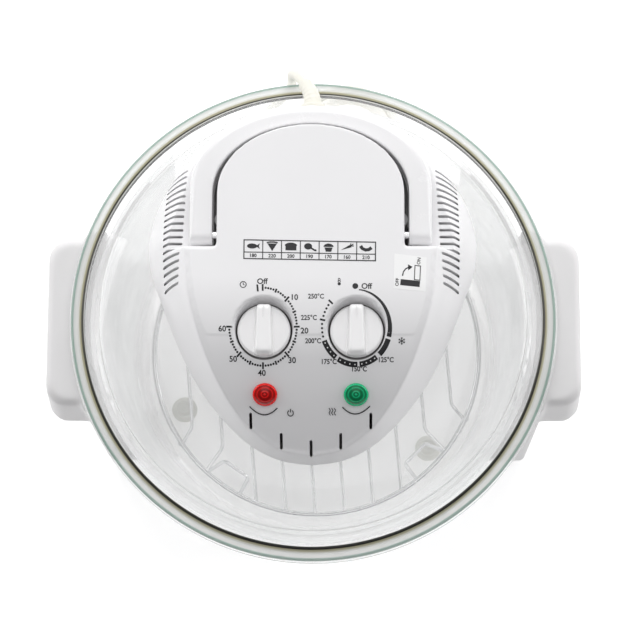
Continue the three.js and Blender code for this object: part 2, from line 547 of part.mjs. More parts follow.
// ================================================================ motor, cooling and convection fans
let stator = solid(prism([[-32, -24], [32, -24], [32, 40], [-32, 40]], 248, 262));
stator = cut(stator, solid(drum(13.4, 240, 270, 16)), solid(box(-14, 14, 21, 33.5, 240, 270)));
put('head', 'motor_stator', stator, zinc);
const coil = cut(solid(box(-13.4, 13.4, 25.8, 46.4 + 3, 244.6, 265.4)), solid(box(-20, 20, 33.2, 40.3, 247.7, 262.3)));
put('head', 'motor_coil', coil, copper);
let bracket = join(solid(box(-46, 46, -9, 9, 245.4, 247.6)), solid(box(-48, -46, -9, 9, 233.9, 247.6)), solid(box(46, 48, -9, 9, 233.9, 247.6)));
bracket = cut(bracket, solid(drum(3.6, 240, 252, 16)));
put('head', 'motor_bracket', bracket, zinc);
put('fan', 'motor_rotor', ring(3.3, 12.8, 248.4, 261.6, 16), zinc);
put('fan', 'fan_shaft', drum(3, 196, 266, 12), steel);
function bladeDisc(hubR, outR, z0, z1, blades, holeR, plate) {
  let f = join(solid(drum(hubR, z0, z1, 12)), solid(drum(outR, z0, z0 + plate, 24)));
  for (let k = 0; k < blades; k++) {
    const b = solid(box(hubR - 1, outR - 0.4, -0.7, 0.7, z0, z1 - 1).rotateZ(deg(360 * k / blades)));
    f = join(f, b);
  }
  return cut(f, solid(drum(holeR, z0 - 5, z1 + 5, 12)));
}
put('fan', 'cooling_fan', bladeDisc(7, FAN_R, 235.4, 243.6, 10, 3.3, 1.2), mat(0xd9d4c8, 0.5));
put('fan', 'convection_fan', bladeDisc(8, FAN_R, 200.4, 212.4, 8, 3.3, 1.2), steel);
put('fan', 'fan_nut', cut(solid(drum(5, 195.2, 200, 6)), solid(drum(3.3, 190, 205, 12))), zinc);

// ================================================================ carry handle
// a bow with full, rounded outer edges; each arm ends in a knuckle round its pin
const HANDLE_HALF_Z = 7.3;
const aboutPivot = (outline) => outline.map(([x, y]) => [x, y - PIVOT.y]);
const bowOuter = aboutPivot(tongueOutline(HANDLE_HALF_X, HANDLE_REAR_Y, PIVOT.y - 14, 56, 18));
const bowInner = aboutPivot(tongueOutline(HANDLE_INNER_X, TONGUE_REAR_Y + 1.8, PIVOT.y - 20, 48.5, 18));
let handle = cut(solid(prism(bowOuter, -HANDLE_HALF_Z, HANDLE_HALF_Z, 5.2, 3)), solid(prism(bowInner, -20, 20)));
handle = handle.intersect(join(solid(box(-90, 90, 0, 100, -20, 20)), solid(drum(HANDLE_HALF_Z, -90, 90, 16).rotateY(Math.PI / 2))));
for (const s of [-1, 1]) {
  handle = cut(handle, solid(drum(2.9, Math.min(s * 58, s * 76), Math.max(s * 58, s * 76), 12).rotateY(Math.PI / 2)));
}
put('handle', 'carry_handle', handle, abs, [0, PIVOT.y, PIVOT.z]);
put('handle', 'pivot_pin_left', drum(2.6, -75.6, -52, 12).rotateY(Math.PI / 2), steel, [0, PIVOT.y, PIVOT.z]);
put('handle', 'pivot_pin_right', drum(2.6, 52, 75.6, 12).rotateY(Math.PI / 2), steel, [0, PIVOT.y, PIVOT.z]);
// cam on the right-hand pin: its radius falls by 3 mm over a quarter turn
const camPts = [];
for (let k = 0; k < 24; k++) {
  const a = 15 * k; // degrees from +Y towards +Z, seen along +X
  // under the pivot (270) the cam is full; turning the handle up by 90 brings 180 there
  let r = 7.2;
  if (a >= 174 && a <= 266) r = 4.2 + 3 * (a - 174) / 92;
  else if (a < 174 && a > 120) r = 4.2 + 3 * Math.max(0, (150 - a)) / 30;
  r = Math.min(7.2, r);
  camPts.push([r * Math.cos(deg(a)), r * Math.sin(deg(a))]);
}
let cam = solid(prism(camPts, -2.4, 2.4));
cam = cut(cam, solid(drum(2.9, -10, 10, 16)));
// plan x,y of the prism become y,z of the oven
const camGeo = fromSolid(cam).applyMatrix4(new THREE.Matrix4().set(0, 0, 1, 55.6, 1, 0, 0, 0, 0, 1, 0, 0, 0, 0, 0, 1));
put('handle', 'switch_cam', camGeo, phenolic, [0, PIVOT.y, PIVOT.z]);

// safety switch under the cam
const plungerTop = PIVOT.z - 7.2 - 0.4;
put('plunger', 'switch_plunger', lathe([[0, -9], [1.6, -9], [1.6, -1], [0, 0]], 12), silicone, [55.6, PIVOT.y, plungerTop]);
const switchTop = plungerTop - 4.4;
let sw = solid(box(47, 59, PIVOT.y - 5, PIVOT.y + 7.5, switchTop - 17, switchTop));
sw = cut(sw, solid(drum(1.9, -9, 6, 12).translate(55.6, PIVOT.y, switchTop)));
put('head', 'safety_switch', sw, phenolic);

// ================================================================ dials and what they turn
const knobGeo = () => {
  const disc = solid(lathe([[0, 0], [KNOB.r - 0.4, 0], [KNOB.r, 0.6], [KNOB.r, 4.2], [KNOB.r - 1.2, 5.6], [0, 6]], 28));
  const gripTaper = prism([[-6.6, -17.6], [6.6, -17.6], [5.2, 17.4], [-5.2, 17.4]], 4, 13.2, 1.6, 1);
  const limit = solid(lathe([[0, 0], [KNOB.r - 0.2, 0], [KNOB.r - 0.2, 8], [KNOB.r - 1.2, 11], [KNOB.r - 4.5, 13.6], [0, 14]], 28));
  let k = join(disc, solid(gripTaper).intersect(limit));
  k = cut(k, solid(box(-0.5, 0.5, 7, 16, 12.7, 15)));
  return cut(k, solid(drum(3.2, -1, 3.6, 10)));
};
const shaftGeo = () => lathe([[0, 0], [2.9, 0], [2.9, 6.2], [0, 6.2]], 10);
for (const [body, knobName, shaftName, s] of [['timer', 'timer_knob', 'timer_shaft', -1], ['thermostat', 'temperature_knob', 'thermostat_shaft', 1]]) {
  put(body, knobName, knobGeo(), abs, [s * KNOB.x, KNOB.y, KNOB.floor + 0.5]);
  put(body, shaftName, shaftGeo(), zinc, [s * KNOB.x, KNOB.y, 286.8]);
}
put('head', 'timer_body', join(solid(prism(roundedRect(19, 17, 3, 2), 263.1, 284)), solid(drum(7, 283.6, 285.7, 10))), zinc, [-KNOB.x, KNOB.y, 0]);
put('head', 'thermostat_body', join(solid(prism(roundedRect(17, 15, 5, 2), 264.6, 282.6)), solid(drum(7, 282.4, 285.7, 10))), ceramic, [KNOB.x, KNOB.y, 0]);
put('head', 'thermostat_sensor', drum(2.2, 192, 241, 8), steel, [SENSOR[0], SENSOR[1], 0]);

// ================================================================ lamps
const lampGeo = lathe([[0, -17], [5.4, -17], [5.4, -3], [LAMP.r - 1.2, -2.6], [LAMP.r - 1.2, 0.35], [LAMP.r + 1.5, 0.35], [LAMP.r + 1.5, 1.4], [LAMP.r - 0.6, 3], [LAMP.r * 0.5, 4.4], [0, 4.9]], 16);
for (const [name, s, colour] of [['power_lamp', -1, 0xc3171c], ['heat_lamp', 1, 0x0e9a4c]]) {
  put('head', name, lampGeo, mat(colour, 0.15), [s * LAMP.x, LAMP.y, topZ(LAMP.y)], [lampSlope, 0, 0]);
}

// ================================================================ wiring inside
let block = solid(box(-48, -16, 58, 72, 233.9, 246));
for (let k = 0; k < 3; k++) block = cut(block, solid(drum(2.6, 240, 250, 10).translate(-41 + 9 * k, 65, 0)));
put('head', 'terminal_block', block, ceramic);
put('head', 'thermal_fuse', join(solid(drum(3.2, -11, 11, 12).rotateY(Math.PI / 2)), solid(box(-2, 12 + 4, -3, 3, -3.4, -1.8))), zinc, [35, 66, 237.6]);
put('head', 'supply_lead', tube([V3(0, 132.6, GLAND.z), V3(-3, 124, GLAND.z + 2), V3(-14, 106, 240.5), V3(-25, 92, 243), V3(-31, 82, 242.6), V3(-32, 72.5, 241)], 2.8, 8, 14), cordPvc);

// ================================================================ mains cord
// strain relief: a neck with a collar through the rear wall, then a tapered sleeve that droops
const reliefPath = [];
const SLEEVE_R = 40, SLEEVE_DROOP = deg(25);
for (let k = 0; k <= 6; k++) {
  const t = SLEEVE_DROOP * k / 6;
  reliefPath.push({ p: V3(GLAND.x - 6 * (k / 6) ** 2, GLAND.y + 5 + SLEEVE_R * Math.sin(t), GLAND.z - SLEEVE_R * (1 - Math.cos(t))), t, r: 6.6 - 1.5 * k / 6, yaw: Math.atan(k / 3 / (SLEEVE_R * SLEEVE_DROOP / 6)) });
}
const sleeve = loft(reliefPath.map(({ p, t, r, yaw }) => circlePts(r, 12).map(([u, w]) =>
  V3(p.x + u * Math.cos(yaw) - w * Math.sin(t) * Math.sin(yaw), p.y + u * Math.sin(yaw) + w * Math.sin(t) * Math.cos(yaw), p.z + w * Math.cos(t)))));
// the loft's caps are joined in plan, which these upright rings don't have, so fans close it
{
  const n = 12, idx = [];
  for (let k = 0; k < 6; k++) for (let i = 0; i < n; i++) {
    const a = k * n + i, b = k * n + (i + 1) % n;
    idx.push(a, b, b + n, a, b + n, a + n);
  }
  for (let i = 1; i + 1 < n; i++) idx.push(0, i + 1, i, 6 * n, 6 * n + i, 6 * n + i + 1);
  sleeve.setIndex(idx);
}
const collar = lathe([[0, -9.5], [8.4, -9.5], [8.4, -8], [6.8, -8], [6.8, 2.2], [8.8, 2.6], [8.8, 4.8], [0, 5.8]], 16)
  .rotateX(-Math.PI / 2).translate(GLAND.x, GLAND.y, GLAND.z);
put('head', 'strain_relief', join(solid(collar), solid(sleeve)), cordPvc);

// the cord: over the rim, down behind the bowl, into a coil on the table
const runPts = [];
const tip = reliefPath[6].p;
const BEND_R = 30, AWAY = reliefPath[6].yaw; // the cord bears left of straight back as it leaves the sleeve
const bendZ = tip.z - BEND_R * Math.cos(SLEEVE_DROOP);
const overRim = (d, z) => V3(tip.x - d * Math.sin(AWAY), tip.y + d * Math.cos(AWAY), z);
runPts.push(overRim(0.9 * Math.cos(SLEEVE_DROOP), tip.z - 0.9 * Math.sin(SLEEVE_DROOP)));
for (let k = 1; k <= 6; k++) {
  const t = (Math.PI / 2 - SLEEVE_DROOP) * (1 - k / 6);
  runPts.push(overRim(BEND_R * (Math.cos(t) - Math.sin(SLEEVE_DROOP)), bendZ + BEND_R * Math.sin(t)));
}
const fallTop = runPts[runPts.length - 1], fallEnd = V3(-44, 186, 0);
for (const z of [170, 140, 110, 80, 55]) {
  const f = smooth(195, 45, z);
  runPts.push(V3(fallTop.x + (fallEnd.x - fallTop.x) * f, fallTop.y + (fallEnd.y - fallTop.y) * f, z));
}
const HEADING = deg(36), FLAT_RUN = 24;
for (const a of [0, 16, 32, 48, 64, 80]) {
  const f = deg(a), d = BEND_R * (1 - Math.cos(f));
  runPts.push(V3(fallEnd.x + d * Math.cos(HEADING), fallEnd.y + d * Math.sin(HEADING), 33.55 - BEND_R * Math.sin(f)));
}
put('head', 'power_cord_run', tube(runPts, CORD_R, 8, 26), cordPvc);

const COIL = { r: 38.5, outer: 42 };
const land = V3(fallEnd.x + (BEND_R + FLAT_RUN) * Math.cos(HEADING), fallEnd.y + (BEND_R + FLAT_RUN) * Math.sin(HEADING), 0);
const coilAt = V3(land.x + COIL.outer * Math.sin(HEADING), land.y - COIL.outer * Math.cos(HEADING), 0);
put('bowl', 'power_cord_coil', lathe([[31.2, 0.4], [45.7, 0.4], [45.7, 14.6], [31.2, 14.6]], 28), cordPvc, [coilAt.x, coilAt.y, 0]);

// the plug, lying beside the coil; its sleeve starts where the cord leaves the coil
const leave = V3(coilAt.x + COIL.outer * Math.cos(deg(25)), coilAt.y + COIL.outer * Math.sin(deg(25)), 0);
const tailDir = V3(Math.sin(deg(25)), -Math.cos(deg(25)), 0);
const PLUG_Z = 18.9;
const plugAt = leave.clone().addScaledVector(tailDir, 32).setZ(PLUG_Z);
let plug = solid(lathe([[0, -1.5], [4.7, -1.5], [6.6, 24], [12, 28], [18.2, 37], [18.5, 39], [18.5, 55], [17.6, 56], [0, 56]], 16));
for (const s of [-1, 1]) plug = join(plug, solid(lathe([[0, 55], [2.4, 55], [2.4, 74], [1.6, 75], [0, 75]], 8).translate(s * 9.5, 0, 0)));
const plugMesh = put('bowl', 'mains_plug', plug, cordPvc, [plugAt.x, plugAt.y, plugAt.z]);
const plugSide = V3(-tailDir.y, tailDir.x, 0);
plugMesh.quaternion.setFromRotationMatrix(new THREE.Matrix4().makeBasis(plugSide, tailDir.clone().cross(plugSide), tailDir));

export default oven;
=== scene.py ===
"""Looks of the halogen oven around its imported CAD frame. Metres, +Z up, front towards -Y."""

import math

import bpy
import numpy as np
from mathutils import Matrix, Vector
from mathutils.bvhtree import BVHTree
from mathutils.geometry import tessellate_polygon


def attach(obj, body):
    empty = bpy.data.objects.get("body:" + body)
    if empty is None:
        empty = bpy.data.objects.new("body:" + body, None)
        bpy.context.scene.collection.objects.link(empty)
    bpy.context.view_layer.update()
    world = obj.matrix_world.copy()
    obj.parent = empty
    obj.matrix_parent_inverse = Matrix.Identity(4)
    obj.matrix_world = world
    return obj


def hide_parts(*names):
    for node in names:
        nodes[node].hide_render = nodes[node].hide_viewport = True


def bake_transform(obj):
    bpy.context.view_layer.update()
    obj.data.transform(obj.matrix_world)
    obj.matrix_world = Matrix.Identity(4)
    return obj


MM = 0.001
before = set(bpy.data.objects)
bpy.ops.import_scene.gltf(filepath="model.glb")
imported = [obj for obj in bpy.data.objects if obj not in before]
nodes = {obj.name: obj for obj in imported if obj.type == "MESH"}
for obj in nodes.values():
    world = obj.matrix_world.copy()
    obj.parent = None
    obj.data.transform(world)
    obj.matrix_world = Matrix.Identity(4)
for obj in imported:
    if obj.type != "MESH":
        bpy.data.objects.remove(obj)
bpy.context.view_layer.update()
scene = bpy.context.scene

# ------------------------------------------------------------------ camera
ELEVATION, AZIMUTH, DISTANCE, FOCAL_PX = math.radians(79.6), math.radians(6.0), 1.5, 2100.0
RIM = np.array([0.0, 0.0, 0.2])
RIM_PX = (313.0, 318.6)
away = np.array([math.sin(AZIMUTH) * math.cos(ELEVATION), -math.cos(AZIMUTH) * math.cos(ELEVATION), math.sin(ELEVATION)])
CAM = RIM + DISTANCE * away


def unit(v):
    v = np.asarray(v, float)
    return v / np.linalg.norm(v)


def camera_axes():
    """The oven's left to right lies level in the picture."""
    fwd = unit(RIM - CAM)
    for _ in range(2):
        right = unit(np.array([1.0, 0, 0]) - fwd * fwd[0])
        up = np.cross(right, fwd)
        if _ == 0:  # the rim's centre stands a few pixels off the middle of the picture
            fwd = unit(fwd - right * (RIM_PX[0] - 320) / FOCAL_PX - up * (320 - RIM_PX[1]) / FOCAL_PX)
    return right, up, fwd


RIGHT, UP, FWD = camera_axes()
cam_data = bpy.data.cameras.new("camera")
cam_data.sensor_fit = "HORIZONTAL"
cam_data.sensor_width = 36
cam_data.lens = FOCAL_PX / 640 * 36
cam_data.clip_start, cam_data.clip_end = 0.05, 20
camera = bpy.data.objects.new("camera", cam_data)
camera.matrix_world = Matrix(((*[RIGHT[0], UP[0], -FWD[0]], CAM[0]), (*[RIGHT[1], UP[1], -FWD[1]], CAM[1]), (*[RIGHT[2], UP[2], -FWD[2]], CAM[2]), (0, 0, 0, 1)))
scene.collection.objects.link(camera)
scene.camera = camera

# ------------------------------------------------------------------ the head's own surfaces, in millimetres
TOP_Z, TOP_BEND_Y, TOP_FALL, LEDGE_Z, POCKET_Y, SKIRT_Z, SIDE_POWER = 302.0, 10.0, 250.0, 282.0, 31.0, 208.0, 1.4
KNOB_X, KNOB_Y, KNOB_R, KNOB_FLOOR = 31.0, -25.5, 17.8, 289.6
LAMP_X, LAMP_Y, LAMP_R = 30.6, -66.0, 6.8
HANDLE_HALF_X, HANDLE_INNER_X, HANDLE_REAR_Y, PIVOT_Y, PIVOT_Z = 82.0, 66.4, 129.5, 41.0, 290.0
LID_R, BOWL_R, RIM_Z = 172.8, 174.3, 200.0


def top_z(y):
    y = np.asarray(y, float)
    return np.where(y >= TOP_BEND_Y, TOP_Z, TOP_Z - (TOP_BEND_Y - y) ** 2 / TOP_FALL)


def smoothstep(a, b, t):
    s = np.clip((np.asarray(t, float) - a) / (b - a), 0, 1)
    return s * s * (3 - 2 * s)


def crease_z(y):
    return top_z(y) - (TOP_Z - LEDGE_Z - 3) * smoothstep(POCKET_Y - 3, 76, y)


def lid_z(r):
    r = np.asarray(r, float)
    return 228 - 17.5 * (np.maximum(r - 96, 0) / 67) ** 1.6


def panel_at(px, py):
    """Where the lines of sight through picture points meet the head's sloping top, in plan millimetres."""
    px, py = np.asarray(px, float), np.asarray(py, float)
    d = FWD + np.multiply.outer((px - 320) / FOCAL_PX, RIGHT) + np.multiply.outer((320 - py) / FOCAL_PX, UP)
    z = np.full(px.shape, 0.298)
    for _ in range(8):
        t = (z - CAM[2]) / d[..., 2]
        y = CAM[1] + t * d[..., 1]
        z = top_z(y / MM) * MM
    return (CAM[0] + t * d[..., 0]) / MM, y / MM


def picture_of(x, y, z):
    """Where a point given in millimetres stands in the picture."""
    d = np.array([x, y, z]) * MM - CAM
    return 320 + FOCAL_PX * (d @ RIGHT) / (d @ FWD), 320 - FOCAL_PX * (d @ UP) / (d @ FWD)


# ------------------------------------------------------------------ mesh helpers
def link(ob):
    scene.collection.objects.link(ob)
    return ob


def new_mesh(name, verts, faces, smooth=True):
    """An object from points in millimetres and faces."""
    me = bpy.data.meshes.new(name)
    v = np.asarray(verts, float).reshape(-1, 3) * MM
    me.from_pydata(v.tolist(), [], [list(map(int, f)) for f in faces])
    me.validate()
    me.polygons.foreach_set("use_smooth", np.full(len(me.polygons), smooth))
    me.update()
    return link(bpy.data.objects.new(name, me))


def rounded(pts, radius, n=5, closed=True):
    """A polyline whose corners are rounded by that radius, or as far as its sides allow."""
    pts = [np.array(p, float) for p in pts]
    m, out = len(pts), []
    for i, p in enumerate(pts):
        if (not closed and i in (0, m - 1)) or (closed and len(p) == 2 and abs(p[0]) < 1e-6):
            out.append(p)
            continue
        a, b = pts[i - 1] - p, pts[(i + 1) % m] - p
        la, lb = np.linalg.norm(a), np.linalg.norm(b)
        if la < 1e-9 or lb < 1e-9:
            continue
        a, b = a / la, b / lb
        angle = math.acos(max(-1, min(1, float(a @ b))))
        if angle > math.pi - 0.03:
            out.append(p)
            continue
        r = radius[i] if hasattr(radius, "__len__") else radius
        d = min(r / math.tan(angle / 2), 0.46 * la, 0.46 * lb)
        r = d * math.tan(angle / 2)
        c = p + unit(a + b) * (r / math.sin(angle / 2))
        s, e = p + a * d - c, p + b * d - c
        turn = math.acos(max(-1, min(1, float(unit(s) @ unit(e)))))
        for k in range(n + 1):
            t = k / n
            out.append(c + (math.sin((1 - t) * turn) * s + math.sin(t * turn) * e) / math.sin(turn))
    return out


def lathe(name, profile, segments=192, at=(0, 0, 0), smooth=True):
    """A closed profile of (radius, height) turned about Z."""
    pts = [(max(float(p[0]), 0), float(p[1])) for p in profile]
    ang = np.arange(segments) * 2 * math.pi / segments
    cos, sin = np.cos(ang), np.sin(ang)
    verts, rings = [], []
    for r, z in pts:
        if r < 1e-6:
            rings.append([len(verts)] * segments)
            verts.append((at[0], at[1], z + at[2]))
        else:
            rings.append(list(range(len(verts), len(verts) + segments)))
            verts.extend(zip(at[0] + r * cos, at[1] + r * sin, np.full(segments, z + at[2])))
    faces = []
    for k in range(len(pts)):
        a, b = rings[k], rings[(k + 1) % len(pts)]
        if pts[k][0] < 1e-6 and pts[(k + 1) % len(pts)][0] < 1e-6:
            continue
        for i in range(segments):
            j = (i + 1) % segments
            f = [a[i], a[j], b[j], b[i]]
            f = [x for n, x in enumerate(f) if x != f[n - 1]]
            if len(f) > 2:
                faces.append(f)
    ob = new_mesh(name, verts, faces, smooth)
    return outward(ob)


def outward(ob):
    """Faces point out: the signed volume is positive."""
    me = ob.data
    me.calc_loop_triangles()
    co, tri = coords(ob), np.zeros(len(me.loop_triangles) * 3, np.int32)
    me.loop_triangles.foreach_get("vertices", tri)
    tri = tri.reshape(-1, 3)
    if np.einsum("ij,ij->i", co[tri[:, 0]], np.cross(co[tri[:, 1]], co[tri[:, 2]])).sum() < 0:
        me.flip_normals()
    return ob


def coords(ob):
    co = np.zeros(len(ob.data.vertices) * 3, np.float32)
    ob.data.vertices.foreach_get("co", co)
    return co.reshape(-1, 3).astype(float)


def set_coords(ob, co):
    ob.data.vertices.foreach_set("co", np.asarray(co, np.float32).ravel())
    ob.data.update()


def stack(name, rings, smooth=True, cap=True):
    """Skin through rings of the same number of points, closed by flat fans or by ngons."""
    n = len(rings[0])
    verts = np.concatenate([np.asarray(r, float) for r in rings])
    faces = []
    for k in range(len(rings) - 1):
        for i in range(n):
            a, b = k * n + i, k * n + (i + 1) % n
            faces.append((a, b, b + n, a + n))
    if cap:
        faces.append(tuple(reversed(range(n))))
        faces.append(tuple(range((len(rings) - 1) * n, len(rings) * n)))
    return outward(new_mesh(name, verts, faces, smooth))


def prism(name, outline, z0, z1):
    o = np.asarray(outline, float)
    return stack(name, [np.c_[o, np.full(len(o), z0)], np.c_[o, np.full(len(o), z1)]], False)


def box(name, x0, x1, y0, y1, z0, z1):
    return prism(name, [(x0, y0), (x1, y0), (x1, y1), (x0, y1)], z0, z1)


def tube(name, path, r, sides=16, closed=False, flat_ends=True, radii=None):
    """Round wire along a line of points, turned as little as possible from point to point."""
    p = np.asarray(path, float)
    n = len(p)
    if closed:
        t = np.roll(p, -1, 0) - np.roll(p, 1, 0)
    else:
        t = np.gradient(p, axis=0)
    t /= np.linalg.norm(t, axis=1)[:, None]
    u = np.cross(t[0], (0, 0, 1.0))
    if np.linalg.norm(u) < 0.2:
        u = np.cross(t[0], (1.0, 0, 0))
    u = unit(u)
    us = []
    for k in range(n):
        u = unit(u - t[k] * (u @ t[k]))
        us.append(u)
    us = np.array(us)
    ws = np.cross(t, us)
    if closed:  # spread the twist that is left over the whole ring
        u_end = unit(us[-1] - t[0] * (us[-1] @ t[0]))
        twist = math.atan2(float(np.cross(u_end, us[0]) @ t[0]), float(u_end @ us[0]))
        f = np.arange(n) / n * twist
        us, ws = us * np.cos(f)[:, None] + ws * np.sin(f)[:, None], ws * np.cos(f)[:, None] - us * np.sin(f)[:, None]
    a = np.arange(sides) * 2 * math.pi / sides
    rr = np.full(n, r) if radii is None else np.asarray(radii, float)
    rings = p[:, None] + rr[:, None, None] * (us[:, None] * np.cos(a)[None, :, None] + ws[:, None] * np.sin(a)[None, :, None])
    verts = rings.reshape(-1, 3)
    faces = []
    for k in range(n if closed else n - 1):
        for i in range(sides):
            j, m = (i + 1) % sides, (k + 1) % n
            faces.append((k * sides + i, k * sides + j, m * sides + j, m * sides + i))
    if not closed:
        faces.append(tuple(reversed(range(sides))))
        faces.append(tuple(range((n - 1) * sides, n * sides)))
    return outward(new_mesh(name, verts, faces))


def smooth_line(points, per=8, closed=False):
    """Centripetal Catmull-Rom line through the points, as the CAD draws its outlines."""
    p = [np.array(q, float) for q in points]
    if closed:
        p = [p[-1], *p, p[0], p[1]]
    else:
        p = [2 * p[0] - p[1], *p, 2 * p[-1] - p[-2]]
    out = []
    for i in range(1, len(p) - 2):
        p0, p1, p2, p3 = p[i - 1 : i + 3]
        d0, d1, d2 = (max(math.sqrt(np.linalg.norm(b - a)), 1e-4) for a, b in ((p0, p1), (p1, p2), (p2, p3)))
        m1 = ((p1 - p0) / d0 - (p2 - p0) / (d0 + d1) + (p2 - p1) / d1) * d1
        m2 = ((p2 - p1) / d1 - (p3 - p1) / (d1 + d2) + (p3 - p2) / d2) * d1
        for k in range(per):
            t = k / per
            out.append(p1 + m1 * t + (-3 * p1 + 3 * p2 - 2 * m1 - m2) * t**2 + (2 * p1 - 2 * p2 + m1 + m2) * t**3)
    if not closed:
        out.append(p[-2])
    return out


def joined(name, obs):
    """One object from several."""
    verts, faces, smooth, n = [], [], [], 0
    for o in obs:
        verts.append(coords(o))
        faces.extend([tuple(v + n for v in f.vertices) for f in o.data.polygons])
        smooth.extend([f.use_smooth for f in o.data.polygons])
        n += len(verts[-1])
        bpy.data.objects.remove(o)
    me = bpy.data.meshes.new(name)
    me.from_pydata(np.concatenate(verts).tolist(), [], faces)
    me.polygons.foreach_set("use_smooth", smooth)
    me.update()
    return link(bpy.data.objects.new(name, me))


def applied(ob):
    """The object with its modifiers applied."""
    e = ob.evaluated_get(bpy.context.evaluated_depsgraph_get())
    me = bpy.data.meshes.new_from_object(e)
    ob.modifiers.clear()
    old, ob.data = ob.data, me
    bpy.data.meshes.remove(old)
    return ob


def boolean(ob, tool, how="DIFFERENCE"):
    mod = ob.modifiers.new("b", "BOOLEAN")
    mod.operation, mod.object, mod.solver = how, tool, "MANIFOLD"
    before = len(ob.data.polygons)
    applied(ob)
    if not len(ob.data.polygons):
        raise RuntimeError(f"{ob.name} {how} {tool.name} left nothing of {before}")
    bpy.data.objects.remove(tool)
    return ob


def soften(ob, voxel, rounds=6, taubin=True):
    """A voxel skin of a block with its edges rounded by a few rounds of smoothing."""
    mod = ob.modifiers.new("r", "REMESH")
    mod.mode, mod.voxel_size, mod.adaptivity = "VOXEL", voxel * MM, 0
    applied(ob)
    co = coords(ob)
    edges = np.zeros(len(ob.data.edges) * 2, np.int32)
    ob.data.edges.foreach_get("vertices", edges)
    a, b = edges.reshape(-1, 2).T
    count = np.bincount(np.r_[a, b], minlength=len(co)).astype(float)[:, None]

    def mean(c):
        out = np.empty_like(c)
        for k in range(3):
            out[:, k] = np.bincount(a, c[b, k], len(c)) + np.bincount(b, c[a, k], len(c))
        return out / np.maximum(count, 1)

    for _ in range(rounds):
        co += 0.6 * (mean(co) - co)
        if taubin:
            co -= 0.62 * (mean(co) - co) * 0.55
    set_coords(ob, co)
    ob.data.polygons.foreach_set("use_smooth", np.ones(len(ob.data.polygons), bool))
    ob.data.update()
    return ob


def by_angle(ob, degrees=30):
    """Smooth faces with sharp edges above an angle."""
    me = ob.data
    me.polygons.foreach_set("use_smooth", np.ones(len(me.polygons), bool))
    me.set_sharp_from_angle(angle=math.radians(degrees))
    return ob


# ------------------------------------------------------------------ material helpers
class Mat:
    """A node material with its Principled shader."""

    def __init__(self, name):
        self.m = bpy.data.materials.new(name)
        self.m.use_nodes = True
        self.t = self.m.node_tree
        self.p = next(n for n in self.t.nodes if n.type == "BSDF_PRINCIPLED")
        self.out = next(n for n in self.t.nodes if n.type == "OUTPUT_MATERIAL")
        self.co = self.t.nodes.new("ShaderNodeTexCoord").outputs["Object"]

    def node(self, kind, **values):
        n = self.t.nodes.new("ShaderNode" + kind)
        for k, v in values.items():
            setattr(n, k, v)
        return n

    def join(self, a, b):
        self.t.links.new(b, a)

    def noise(self, scale, detail=3, rough=0.5, vector=None):
        n = self.node("TexNoise")
        self.join(n.inputs["Vector"], vector or self.co)
        n.inputs["Scale"].default_value, n.inputs["Detail"].default_value, n.inputs["Roughness"].default_value = scale, detail, rough
        return n.outputs["Fac"]

    def math(self, op, a, b=None, clamp=False):
        n = self.node("Math", operation=op, use_clamp=clamp)
        for i, v in enumerate((a, b)):
            if v is None:
                continue
            if isinstance(v, (int, float)):
                n.inputs[i].default_value = v
            else:
                self.join(n.inputs[i], v)
        return n.outputs[0]

    def ramp(self, fac, stops, kind="LINEAR"):
        n = self.node("ValToRGB")
        n.color_ramp.interpolation = kind
        els = n.color_ramp.elements
        while len(els) > 1:
            els.remove(els[-1])
        els[0].position, els[0].color = stops[0][0], (*stops[0][1], 1)
        for at, c in stops[1:]:
            e = els.new(at)
            e.color = (*c, 1)
        self.join(n.inputs["Fac"], fac)
        return n.outputs["Color"]

    def span(self, value, a, b, lo=0.0, hi=1.0, smooth=False):
        n = self.node("MapRange", clamp=True)
        if smooth:
            n.interpolation_type = "SMOOTHSTEP"
        self.join(n.inputs["Value"], value)
        for k, v in zip(("From Min", "From Max", "To Min", "To Max"), (a, b, lo, hi)):
            n.inputs[k].default_value = v
        return n.outputs["Result"]

    def mix(self, fac, a, b):
        n = self.node("Mix", data_type="RGBA")
        self.join(n.inputs[0], fac) if not isinstance(fac, (int, float)) else setattr(n.inputs[0], "default_value", fac)
        for i, v in ((6, a), (7, b)):
            if isinstance(v, tuple):
                n.inputs[i].default_value = (*v, 1)
            else:
                self.join(n.inputs[i], v)
        return n.outputs[2]

    def bump(self, height, strength=0.2, distance=0.0002, before=None):
        n = self.node("Bump")
        n.inputs["Strength"].default_value, n.inputs["Distance"].default_value = strength, distance
        self.join(n.inputs["Height"], height)
        if before is not None:
            self.join(n.inputs["Normal"], before)
        return n.outputs["Normal"]

    def radius(self):
        """Distance from the oven's axis, in metres."""
        s = self.node("SeparateXYZ")
        self.join(s.inputs[0], self.co)
        x, y = s.outputs[0], s.outputs[1]
        return self.math("SQRT", self.math("ADD", self.math("MULTIPLY", x, x), self.math("MULTIPLY", y, y)))

    def axis(self, which):
        s = self.node("SeparateXYZ")
        self.join(s.inputs[0], self.co)
        return s.outputs[which]


def scaled(c, k):
    return tuple(min(1.0, x * k) for x in c)


